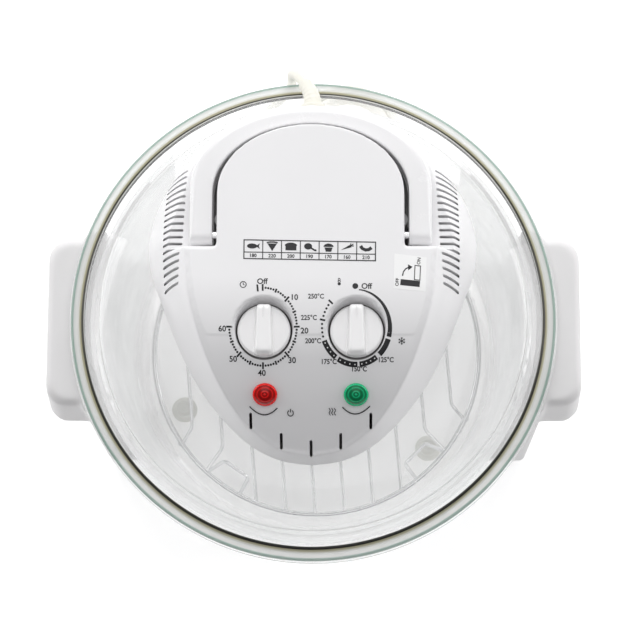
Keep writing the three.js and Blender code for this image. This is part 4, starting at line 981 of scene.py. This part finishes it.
for x, y in ((62, -44), (-62, -44), (61, 54), (-61, 54)):
    post = drum("post", 5, 236.5, 280, (x, y), 24)
    boolean(post, drum("bore", 2.1, 230, 262, (x, y), 16))
    boolean(housing, post, "UNION")
by_angle(housing, 34)
skin = BVHTree.FromObject(housing, bpy.context.evaluated_depsgraph_get())
finish_piece(housing, housing_mat, "head", ("upper_housing",))

# ------------------------------------------------------------------ carry handle
def pillow(name, outline, z0, z1, bevel, n=8):
    """A prism whose upper and lower edges are fully rounded."""
    o = np.asarray(outline, float)
    out = out_of(o)
    half = [(bevel * (1 - math.sin(math.pi / 2 * k / n)), bevel * (1 - math.cos(math.pi / 2 * k / n))) for k in range(n + 1)]
    rings = [np.c_[o - out * inset, np.full(len(o), z0 + dz)] for inset, dz in half]
    rings += [np.c_[o - out * inset, np.full(len(o), z1 - dz)] for inset, dz in half[::-1]]
    return stack(name, rings)


handle = pillow("carry_bow", tongue_outline(HANDLE_HALF_X, HANDLE_REAR_Y, PIVOT_Y - 14, 56) - (0, PIVOT_Y), -7.3, 7.3, 5.2)
boolean(handle, prism("bow_inside", tongue_outline(HANDLE_INNER_X, 117.3, PIVOT_Y - 20, 48.5) - (0, PIVOT_Y), -20, 20))
within = drum("knuckle", 7.3, -90, 90, (0, 0), 96)
within.data.transform(Matrix.Rotation(math.pi / 2, 4, "Y"))
boolean(within, box("arms", -90, 90, 0, 100, -20, 20), "UNION")
boolean(handle, within, "INTERSECT")
soften(handle, 0.8, 7)
for s in (-1, 1):
    x0, x1 = sorted((s * 58, s * 76))
    bore = drum("bore", 2.9, x0, x1, (0, 0), 24)
    bore.data.transform(Matrix.Rotation(math.pi / 2, 4, "Y"))
    boolean(handle, bore)
handle.data.transform(Matrix.Translation((0, PIVOT_Y * MM, PIVOT_Z * MM)))
by_angle(handle, 40)
finish_piece(handle, handle_mat, "handle", ("carry_handle",))

# ------------------------------------------------------------------ dials
for body, node, s in (("timer", "timer_knob", -1), ("thermostat", "temperature_knob", 1)):
    disc = lathe(node.replace("knob", "dial"), [(0, 0), (17.4, 0), (17.8, 0.6), (17.8, 4.2), (16.6, 5.6), (0, 6)], 128)
    rings = []
    for hx, hy, r, z in ((5.9, 17.6, 2.5, 4), (5.75, 17.5, 2.5, 8), (5.5, 16.9, 2.5, 10.4), (5.0, 16.0, 2.4, 11.9), (4.2, 14.9, 2.2, 12.85), (3.2, 13.6, 2, 13.2)):
        o = rounded_rect(hx, hy, r, 6)
        o[:, 0] *= 1 - 0.12 * o[:, 1] / 17.6
        rings.append(np.c_[o, np.full(len(o), z)])
    bar = stack("bar", rings)
    boolean(bar, drum("limit", 17.6, 0, 14, (0, 0), 128), "INTERSECT")
    boolean(disc, bar, "UNION")
    soften(disc, 0.42, 9)
    boolean(disc, prism("groove", rounded_rect(0.55, 4.5, 0.5, 4) + (0, 11.6), 12.4, 15))
    boolean(disc, drum("bore", 3.2, -1, 3.6, (0, 0), 32))
    disc.data.transform(Matrix.Translation((s * KNOB_X * MM, KNOB_Y * MM, (KNOB_FLOOR + 0.5) * MM)))
    by_angle(disc, 40)
    finish_piece(disc, knob_mat, body, (node,))

# ------------------------------------------------------------------ lamps: domed lenses with rings
red_lens = lens_material("red_lens", -1, (0.36, 0.003, 0.003), (0.74, 0.014, 0.012), (1.0, 0.05, 0.04))
green_lens = lens_material("green_lens", 1, (0.001, 0.19, 0.07), (0.012, 0.46, 0.2), (0.05, 1.0, 0.3))
for node, name, s, mat, slot in (("power_lamp", "lens_red", -1, red_lens, "lens_red"), ("heat_lamp", "lens_green", 1, green_lens, "lens_green")):
    profile = [(0, -17), (5.4, -17), (5.4, -3), (5.6, -2.6), (5.6, 0.35), (8.15, 0.35), (8.3, 0.6), (8.3, 1.2), (8.1, 1.45)]
    profile += [(7.7, 1.9), (7.2, 2.25), (6.9, 2.2)]
    for r in np.linspace(6.6, 0.4, 22):
        profile.append((float(r), 2.2 + 2.3 * (1 - (r / 6.9) ** 2.2) - 0.09 * (abs(r - 4.3) < 0.35) - 0.09 * (abs(r - 2.3) < 0.3)))
    profile += [(0, 4.5)]
    lens = lathe(node + "_lens", profile, 96)
    lens.data.transform(Matrix.Translation((s * LAMP_X * MM, LAMP_Y * MM, lamp_z * MM)) @ Matrix.Rotation(lamp_slope, 4, "X"))
    by_angle(lens, 45)
    finish_piece(lens, mat, "head", (node,))

# ------------------------------------------------------------------ printing, draped on the housing
KNOB_PX = {-1: (260.5, 329.5), 1: (352.8, 330.5)}
SHIFT = {}
for s in (-1, 1):
    at = picture_of(s * KNOB_X, KNOB_Y, KNOB_FLOOR + 6)
    SHIFT[s] = (at[0] - KNOB_PX[s][0], at[1] - KNOB_PX[s][1])
SHIFT[0] = ((SHIFT[-1][0] + SHIFT[1][0]) / 2, (SHIFT[-1][1] + SHIFT[1][1]) / 2)
PX = 0.67  # a picture point on the panel, in millimetres


def plan(pts, side=0):
    """Picture points, moved with the dials, as plan points in millimetres."""
    pts = np.asarray(pts, float).reshape(-1, 2) + SHIFT[side]
    return np.c_[panel_at(pts[:, 0], pts[:, 1])]


class Print:
    """Flat shapes in plan, joined into one closed thin layer that follows the housing."""

    def __init__(self, name, mat, low, high):
        self.name, self.mat, self.low, self.high, self.v, self.f = name, mat, low, high, [], []

    def add(self, pts, faces=None):
        pts = [(float(x), float(y)) for x, y in pts]
        if faces is None:
            faces = tessellate_polygon([[Vector((x, y, 0)) for x, y in pts]])
        n = len(self.v)
        self.v += pts
        for f in faces:
            if len(set(f)) < 3:
                continue
            area = sum(pts[f[k - 1]][0] * pts[f[k]][1] - pts[f[k]][0] * pts[f[k - 1]][1] for k in range(len(f)))
            self.f.append(tuple(n + i for i in (f if area > 0 else f[::-1])))

    def disc(self, at, r, n=20):
        self.add([(at[0] + r * math.cos(2 * math.pi * k / n), at[1] + r * math.sin(2 * math.pi * k / n)) for k in range(n)])

    def band(self, line, widths):
        """A strip of that width, or widths, along a line."""
        p, widths = np.asarray(line, float), np.broadcast_to(np.asarray(widths, float), len(line))
        if len(p) == 2:
            n = max(2, int(np.linalg.norm(p[1] - p[0]) / 1.2) + 1)
            p = p[0] + (p[1] - p[0]) * np.linspace(0, 1, n)[:, None]
            widths = np.linspace(widths[0], widths[-1], n)
        t = np.gradient(p, axis=0)
        t /= np.linalg.norm(t, axis=1)[:, None]
        w = np.c_[-t[:, 1], t[:, 0]] * (widths * 0.57)[:, None]
        n = len(p)
        rails = np.concatenate([p + w * f for f in (1, 0.5, 0, -0.5, -1)])
        self.add(rails, [(r * n + k, r * n + k + 1, (r + 1) * n + k + 1, (r + 1) * n + k) for r in range(4) for k in range(n - 1)])

    def patch(self, a, b, c, d, n=24):
        """A four-cornered field in small pieces, so that it follows the bend."""
        a, b, c, d = (np.asarray(q, float) for q in (a, b, c, d))
        u = np.linspace(0, 1, n + 1)
        pts = [(a * (1 - s) + b * s) * (1 - t) + (d * (1 - s) + c * s) * t for t in u for s in u]
        self.add(pts, [(j * (n + 1) + i, j * (n + 1) + i + 1, (j + 1) * (n + 1) + i + 1, (j + 1) * (n + 1) + i) for j in range(n) for i in range(n)])

    def frame(self, line, width):
        """A closed outline of that width."""
        p = [np.array(q, float) for q in line]
        for k in range(len(p)):
            a, b = p[k - 1], p[k]
            d = unit(b - a) * width / 2
            self.band([a - d, b + d], width)

    def text(self, body, at, height, turn=0.0, stretch=1.0):
        """Characters of that height, centred on a place."""
        cu = bpy.data.curves.new("characters", "FONT")
        cu.body, cu.size, cu.resolution_u, cu.offset = body, 1.0, 3, 0.019
        ob = link(bpy.data.objects.new("characters", cu))
        me = bpy.data.meshes.new_from_object(ob.evaluated_get(bpy.context.evaluated_depsgraph_get()))
        co = np.zeros(len(me.vertices) * 3, np.float32)
        me.vertices.foreach_get("co", co)
        co = co.reshape(-1, 3)[:, :2].astype(float)
        co -= (co.max(0) + co.min(0)) / 2
        co *= height / 0.69
        co[:, 0] *= stretch
        c, q = math.cos(turn), math.sin(turn)
        co = co @ np.array([[c, q], [-q, c]]) + at
        self.add(co, [tuple(f.vertices) for f in me.polygons])
        bpy.data.objects.remove(ob)
        bpy.data.curves.remove(cu)
        bpy.data.meshes.remove(me)

    def build(self, body="head"):
        v, n = np.array(self.v), len(self.v)
        z = []
        for x, y in v:
            hit = skin.ray_cast(Vector((x * MM, y * MM, 0.4)), Vector((0, 0, -1)))
            z.append(hit[0].z / MM if hit[0] else float(top_z(y)))
        z = np.maximum(np.array(z), top_z(v[:, 1]) - 0.6)
        count = {}
        for f in self.f:
            for k in range(len(f)):
                e = (f[k - 1], f[k])
                count[e] = count.get(e, 0) + 1
        faces = list(self.f) + [tuple(i + n for i in f[::-1]) for f in self.f]
        for a, b in count:
            if (b, a) not in count:
                faces.append((b, a, a + n, b + n))
        ob = new_mesh(self.name, np.concatenate([np.c_[v, z + self.high], np.c_[v, z + self.low]]), faces, False)
        return finish_piece(ob, self.mat, body)


black = Print("black_scales", ink_mat, -0.05, 0.10)
dots = Print("white_dots", label_mat, 0.0, 0.17)
plates = Print("white_labels", sticker_mat, -0.05, 0.09)
figures = Print("label_figures", ink_mat, 0.0, 0.16)


def on_scale(side, centre, rx, ry, angle):
    a = np.radians(angle)
    return plan(np.c_[centre[0] + rx * np.sin(a), centre[1] - ry * np.cos(a)], side)


# time scale: a dot for each minute, short bars at the fives, long bars at the tens
TIME_AT, TIME_RX, TIME_RY = (259.7, 325.7), 33.8, 39.0
for minute in range(1, 61):
    a = 4.5 * minute
    if minute % 5:
        black.disc(on_scale(-1, TIME_AT, TIME_RX, TIME_RY, [a])[0], 0.74, 14)
    else:
        reach = 0.088 if minute % 10 == 0 else 0.053
        ends = [on_scale(-1, TIME_AT, TIME_RX * f, TIME_RY * f, [a])[0] for f in (1 - reach, 1 + reach)]
        black.band(ends, 1.05)
for line in (((259.4, 283.1), (259.4, 289.8)), ((253.9, 283.5), (254.6, 290.4))):
    black.band(plan(line, -1), 1.05)
for words, at in (("10", (291.6, 296.1)), ("20", (301.2, 329.6)), ("30", (288.9, 359.1)), ("40", (258.5, 371.8)), ("50", (229.9, 357.8)), ("60", (219.0, 327.5))):
    black.text(words, plan([at], -1)[0], 5.4 * PX)
black.text("Off", plan([(259.2, 280.2)], -1)[0], 5.4 * PX)

# temperature scale: a growing crescent, then a thick band with white dots
TEMP_AT, TEMP_RX, TEMP_RY = (352.1, 327.0), 34.0, 37.5
angles = np.linspace(5, 105, 60)
black.band(on_scale(1, TEMP_AT, TEMP_RX, TEMP_RY, angles), (1.0 + 3.1 * (angles - 5) / 100) * PX)
for a0, a1, count in ((108.6, 136.5, 0), (142.8, 173.9, 4), (177.5, 211.9, 4), (216.4, 248.9, 4)):
    angles = np.linspace(a0, a1, 24)
    black.band(on_scale(1, TEMP_AT, TEMP_RX, TEMP_RY, angles), 4.6 * PX)
    for k in range(count):
        a = a0 + (a1 - a0) * (k + 0.5) / count
        dots.disc(on_scale(1, TEMP_AT, TEMP_RX, TEMP_RY, [a])[0], 0.45, 14)
for a0, a1 in ((249, 281), (281, 312)):
    for k in range(4):
        black.disc(on_scale(1, TEMP_AT, TEMP_RX, TEMP_RY, [a0 + (a1 - a0) * (k + 1) / 5])[0], 0.74, 14)
    black.band([on_scale(1, TEMP_AT, TEMP_RX * f, TEMP_RY * f, [a1])[0] for f in (0.92, 1.08)], 1.05)
black.disc(plan([(351.4, 286.0)], 1)[0], 2.9 * PX, 28)
black.text("Off", plan([(363.0, 286.0)], 1)[0], 5.4 * PX)
for words, at in (("125°C", (382.4, 359.5)), ("150°C", (355.6, 368.7)), ("175°C", (325.3, 361.4)), ("200°C", (309.2, 340.6)), ("225°C", (305.0, 317.4)), ("250°C", (312.1, 296.1))):
    black.text(words, plan([at], 1)[0], 4.6 * PX, stretch=0.92)

# small signs: clock, thermometer, snowflake, power, warm air
TURN = [2 * math.pi * k / 24 for k in range(25)]


def circle(at, r, a0=0.0, a1=360.0, n=24):
    return [(at[0] + r * math.cos(math.radians(a0 + (a1 - a0) * k / n)), at[1] + r * math.sin(math.radians(a0 + (a1 - a0) * k / n))) for k in range(n + 1)]


clock = plan([(239.9, 283.5)], -1)[0]
black.band(circle(clock, 2.0), 0.5)
black.band([clock, clock + (0, 1.3)], 0.45)
black.band([clock, clock + (0.9, -0.4)], 0.45)
thermo = plan([(335.3, 282.5)], 1)[0]
black.band(circle(thermo + (0, 0.6), 0.75, -40, 220), 0.4)
black.band([thermo + (-0.62, 2.2), thermo + (-0.62, 0.2)], 0.4)
black.band([thermo + (0.62, 2.2), thermo + (0.62, 0.2)], 0.4)
black.band(circle(thermo + (0, 2.2), 0.62, 0, 180, 12), 0.4)
black.disc(thermo + (0, -0.9), 1.05)
flake = plan([(397.9, 340.9)], 1)[0]
for k in range(3):
    d = np.array([math.cos(math.radians(30 + 60 * k)), math.sin(math.radians(30 + 60 * k))]) * 2.4
    black.band([flake - d, flake + d], 0.42)
    for q in (-1, 1):
        for t in (-40, 40):
            v = d * q
            c, w = math.cos(math.radians(t)), math.sin(math.radians(t))
            black.band([flake + v * 0.55, flake + v * 0.55 + np.array([v[0] * c - v[1] * w, v[0] * w + v[1] * c]) * 0.38], 0.36)
for side, line in ((-1, ((246.2, 405.3), (260.4, 413.7), (274.0, 407.0))), (1, ((338.5, 407.0), (351.9, 413.9), (366.1, 406.0)))):
    (x0, y0), (x1, y1), (x2, y2) = line
    cx, cy = 2 * x1 - (x0 + x2) / 2, 2 * y1 - (y0 + y2) / 2
    curve = [((1 - t) ** 2 * x0 + 2 * t * (1 - t) * cx + t * t * x2, (1 - t) ** 2 * y0 + 2 * t * (1 - t) * cy + t * t * y2) for t in np.linspace(0, 1, 24)]
    black.band(plan(curve, side), 0.62)
power = plan([(287.2, 412.0)], -1)[0]
black.band(circle(power, 1.9, 125, 415), 0.5)
black.band([power + (0, 0.4), power + (0, 2.6)], 0.5)
warm = plan([(328.4, 411.6)], 1)[0]
for k in (-1, 0, 1):
    t = np.linspace(-2.3, 2.3, 20)
    black.band(np.c_[warm[0] + 1.75 * k + 0.4 * np.sin(t * 2.0), warm[1] + t], 0.42)

# the strip: seven foods over seven temperatures
corners = plan([(240.5, 239.3), (372.0, 241.7), (371.8, 260.3), (240.3, 258.0)])
TL, TR, BR, BL = corners


def on_strip(u, v):
    """u from left to right, v from the lower to the upper edge."""
    return (BL * (1 - u) + BR * u) * (1 - v) + (TL * (1 - u) + TR * u) * v


SPLIT = 0.35
figures.frame([on_strip(0, 0), on_strip(1, 0), on_strip(1, 1), on_strip(0, 1)], 0.6)
figures.band([on_strip(0, SPLIT), on_strip(1, SPLIT)], 0.5)
for k in range(1, 7):
    figures.band([on_strip(k / 7, 0), on_strip(k / 7, 1)], 0.5)
along, across = unit(BR - BL), unit(TL - BL)


def food(k, pts, widths=None):
    centre = on_strip((k + 0.5) / 7, (1 + SPLIT) / 2)
    pts = [centre + along * x * 4.3 + across * y * 3.1 for x, y in pts]
    figures.band(pts, widths) if widths else figures.add(pts)


def ellipse(cx, cy, rx, ry, a0=0, a1=360, n=20):
    return [(cx + rx * math.cos(math.radians(a0 + (a1 - a0) * t / n)), cy + ry * math.sin(math.radians(a0 + (a1 - a0) * t / n))) for t in range(n + (a1 - a0 < 360))]


food(0, ellipse(-0.2, 0, 0.8, 0.55))
food(0, [(0.42, 0), (1.0, 0.62), (0.85, 0), (1.0, -0.62)])
food(1, [(-0.75, 0.62), (0.75, 0.62), (0.0, -1.0)])
food(1, [(-0.85, 0.82), (-0.3, 0.95), (0.3, 0.95), (0.85, 0.82)], 0.8)
food(2, [(-0.85, -0.8), (0.85, -0.8), (0.85, 0.15)] + ellipse(0, 0.25, 0.95, 0.65, 0, 180, 14) + [(-0.85, 0.15)])
food(3, ellipse(-0.25, 0.15, 0.62, 0.7))
food(3, [(0.15, -0.15), (0.8, -0.72)], 0.95)
food(3, ellipse(0.9, -0.7, 0.17, 0.22, n=12))
food(4, [(-0.62, -0.05), (-0.42, -0.95), (0.42, -0.95), (0.62, -0.05)])
food(4, ellipse(0, 0.1, 0.78, 0.75, 0, 180, 14))
food(5, [(-1.0, -0.55), (0.35, 0.6), (0.68, 0.12)])
for dx, dy in ((0.95, 0.85), (1.0, 0.4), (0.55, 0.95)):
    food(5, [(0.5, 0.38), (dx, dy)], 0.55)
food(6, [(-0.85, 0.45), (-0.6, -0.1), (-0.1, -0.42), (0.4, -0.35), (0.85, 0.1)], 1.9)
for k, words in enumerate(("180", "220", "200", "190", "170", "160", "210")):
    figures.text(words, on_strip((k + 0.5) / 7, SPLIT / 2), 2.3, math.atan2(along[1], along[0]))

# the handle's sign: a lying handle is off, a standing one is on
corners = plan([(391, 253), (423, 257), (422, 291), (390, 288)])
plates.patch(corners[3], corners[2], corners[1], corners[0])


def sign(pts):
    return plan(pts)


figures.patch(*sign([(396.6, 284.6), (416.0, 286.6), (416.5, 280.6), (397.1, 278.6)]), 6)
figures.frame(sign([(411.4, 265.0), (416.9, 265.6), (416.3, 279.8), (410.8, 279.2)]), 0.5)
curve = [(398.9, 275.4), (399.8, 271.4), (402.0, 268.4), (405.2, 266.8)]
figures.band(sign(curve), 0.7)
figures.add(sign([(404.4, 263.9), (404.8, 269.9), (409.0, 266.4)]))
figures.text("OFF", sign([(393.6, 281.6)])[0], 2.2, math.radians(83), 0.95)
figures.text("ON", sign([(415.2, 260.6)])[0], 2.2, math.radians(83), 0.95)
for layer in (black, plates):
    layer.build()
for layer in (dots, figures):
    layer.build()

# ------------------------------------------------------------------ seen through the glass: gaskets, head floor, pan, guard, tube
for node, r0, r1, z0, z1 in (("gasket_upper", 80.6, 88.5, 228.3, 230.3), ("gasket_lower", 80.6, 89.5, 220.8, 222.7)):
    ring = lathe(node.replace("gasket", "seal"), rounded([(r0, z0), (r1, z0), (r1, z1), (r0, z1)], 0.6, 4), 160)
    finish_piece(ring, gasket_mat, "head", (node,))


def around(r, a):
    return r * math.cos(math.radians(a)), r * math.sin(math.radians(a))


holes = [(*around(62, a), 6.6) for a in (82, 98)] + [(*around(70, a), 2.2) for a in (30, 150, 270)] + [(72, -13, 2.8)]
deck = lathe("head_floor", rounded([(14, 230.6), (90, 230.6), (90, 237.5), (88, 237.5), (88, 233.6), (14, 233.6)], 0.5, 3), 160)
for x, y in ((62, -44), (-62, -44), (61, 54), (-61, 54)):
    boolean(deck, drum("boss", 6, 230.6, 236.1, (x, y), 32), "UNION")
    boolean(deck, drum("bore", 2.1, 225, 245, (x, y), 20))
    boolean(deck, drum("counterbore", 3.9, 225, 233.1, (x, y), 24))
for x, y, r in holes:
    boolean(deck, drum("bore", r, 225, 240, (x, y), 24))
flange = box("flange", -150, 150, -150, 170, 230.6, 232.6)
boolean(flange, head_block("flange_edge", 3.6, 3, LEDGE_Z - 3, 190), "INTERSECT")
boolean(flange, drum("flange_hole", 89, 225, 240, (0, 0), 128))
boolean(flange, box("lead_gap", -20, 12, 108, 170, 225, 240))
boolean(deck, flange, "UNION")
by_angle(deck, 30)
finish_piece(deck, dim_inside_mat, "head", ("lower_housing",))

pan = lathe("heater_pan", rounded([(12, 219), (83, 219), (83, 181), (84.4, 181), (84.4, 219), (89.5, 219), (89.5, 220.5), (12, 220.5)], 0.5, 3), 160)
for x, y, r in holes:
    boolean(pan, drum("bore", r, 210, 230, (x, y), 24))
by_angle(pan, 30)
finish_piece(pan, pan_mat, "head", ("reflector_pan",))

guard = drum("tube_guard", 82.4, 182.2, 183.4, (0, 0), 160)
for r0, r1, count, fill in ((14, 34, 6, 0.74), (42, 73, 12, 0.66)):
    for k in range(count):
        a0, sweep = 360 * k / count, 360 * fill / count
        arc = [math.radians(a0 + sweep * t / 12) for t in range(13)]
        slot_shape = [(r1 * math.cos(t), r1 * math.sin(t)) for t in arc] + [(r0 * math.cos(t), r0 * math.sin(t)) for t in arc[::-1]]
        slot_shape = rounded(slot_shape, 2.5, 4)
        boolean(guard, prism("slot", slot_shape, 180, 186))
by_angle(guard, 30)
finish_piece(guard, pan_mat, "head", ("heater_guard",))

arc = [(*around(62, 98 + 344 * k / 90), 199) for k in range(91)]
first, last = arc[0], arc[-1]
tube_line = rounded([(first[0], first[1], 215.4), first], 1, 2, closed=False)
tube_line = [(first[0], first[1], 215.4), (first[0], first[1], 209), (first[0] - 0.4, first[1], 204), (first[0] - 2.5, first[1] - 0.3, 200.4), *arc[5:-5], (last[0] + 2.5, last[1] - 0.3, 200.4), (last[0] + 0.4, last[1], 204), (last[0], last[1], 209), (last[0], last[1], 215.4)]
halogen = tube("quartz_ring", smooth_line(tube_line, 2), 4.2, 24)
finish_piece(halogen, quartz_mat, "head", ("halogen_tube",))


# ------------------------------------------------------------------ better materials on the CAD pieces that stay
keep = {
    "convection_fan": fan_mat, "fan_nut": zinc_mat, "fan_shaft": wire_mat, "cooling_fan": fan_plastic_mat, "motor_rotor": zinc_mat,
    "motor_stator": zinc_mat, "motor_coil": copper_mat, "motor_bracket": zinc_mat, "insulation_disc": wool_mat,
    "tube_end_1": ceramic_mat, "tube_end_2": ceramic_mat, "tube_clip_1": pan_mat, "tube_clip_2": pan_mat,
    "timer_body": zinc_mat, "thermostat_body": ceramic_mat, "thermostat_sensor": wire_mat, "timer_shaft": zinc_mat, "thermostat_shaft": zinc_mat,
    "pivot_pin_left": wire_mat, "pivot_pin_right": wire_mat, "switch_cam": phenolic_mat, "safety_switch": phenolic_mat, "switch_plunger": pad_mat,
    "terminal_block": ceramic_mat, "thermal_fuse": zinc_mat, "supply_lead": cord_mat,
}
for i in range(1, 5):
    keep[f"housing_screw_{i}"] = zinc_mat
for i in range(1, 4):
    keep[f"clamp_screw_{i}"] = zinc_mat
for node, mat in keep.items():
    for slot_of in nodes[node].material_slots:
        slot_of.material = mat.m

# ------------------------------------------------------------------ floor and light
floor_mat = Mat("floor")
floor_mat.join(floor_mat.p.inputs["Base Color"], floor_mat.ramp(floor_mat.noise(3, 3), [(0.35, (0.955, 0.955, 0.955)), (0.65, (0.97, 0.97, 0.97))]))
floor_mat.join(floor_mat.p.inputs["Roughness"], floor_mat.span(floor_mat.noise(300, 2), 0.3, 0.7, 0.78, 0.86))
floor_mat.p.inputs["Specular IOR Level"].default_value = 0.2
floor_mat.p.inputs["Emission Color"].default_value = (1, 1, 1, 1)
floor_mat.p.inputs["Emission Strength"].default_value = 0.4
floor = box("floor", -4000, 4000, -4000, 4000, -20, 0)
floor.data.materials.append(floor_mat.m)

world = bpy.data.worlds.new("studio")
scene.world = world
world.use_nodes = True
wt = world.node_tree
wc, ws, wr = wt.nodes.new("ShaderNodeTexCoord"), wt.nodes.new("ShaderNodeSeparateXYZ"), wt.nodes.new("ShaderNodeValToRGB")
wm = wt.nodes.new("ShaderNodeMapRange")
wt.links.new(ws.inputs[0], wc.outputs["Generated"])
wt.links.new(wm.inputs["Value"], ws.outputs[1])
wm.inputs["From Min"].default_value, wm.inputs["From Max"].default_value = -1, 1
wt.links.new(wr.inputs["Fac"], wm.outputs["Result"])
wr.color_ramp.elements[0].position, wr.color_ramp.elements[0].color = 0.12, (0.22, 0.22, 0.23, 1)
wr.color_ramp.elements[1].position, wr.color_ramp.elements[1].color = 0.85, (1, 1, 1, 1)
wt.links.new(wt.nodes["Background"].inputs["Color"], wr.outputs["Color"])
wt.nodes["Background"].inputs["Strength"].default_value = 0.52


def softbox(name, at, towards, size, watts, colour=(1, 1, 1)):
    data = bpy.data.lights.new(name, "AREA")
    data.shape, data.size, data.size_y, data.energy, data.color = "RECTANGLE", size[0], size[1], watts, colour
    ob = bpy.data.objects.new(name, data)
    ob.location = at
    ob.rotation_euler = (Vector(towards) - Vector(at)).to_track_quat("-Z", "Y").to_euler()
    scene.collection.objects.link(ob)
    return ob


softbox("rear", (0.0, 2.3, 1.75), (0, 0, 0.25), (3.0, 1.3), 38)
softbox("left", (-2.1, 0.6, 1.1), (0, 0, 0.2), (1.2, 1.6), 15)
softbox("right", (2.1, 0.5, 1.1), (0, 0, 0.2), (1.2, 1.6), 15)
softbox("top", (0.0, 0.1, 2.6), (0, 0, 0.2), (2.4, 2.4), 16)
scene.view_settings.view_transform = "Standard"
scene.view_settings.look = "None"
scene.view_settings.exposure = 0
scene.view_settings.gamma = 1
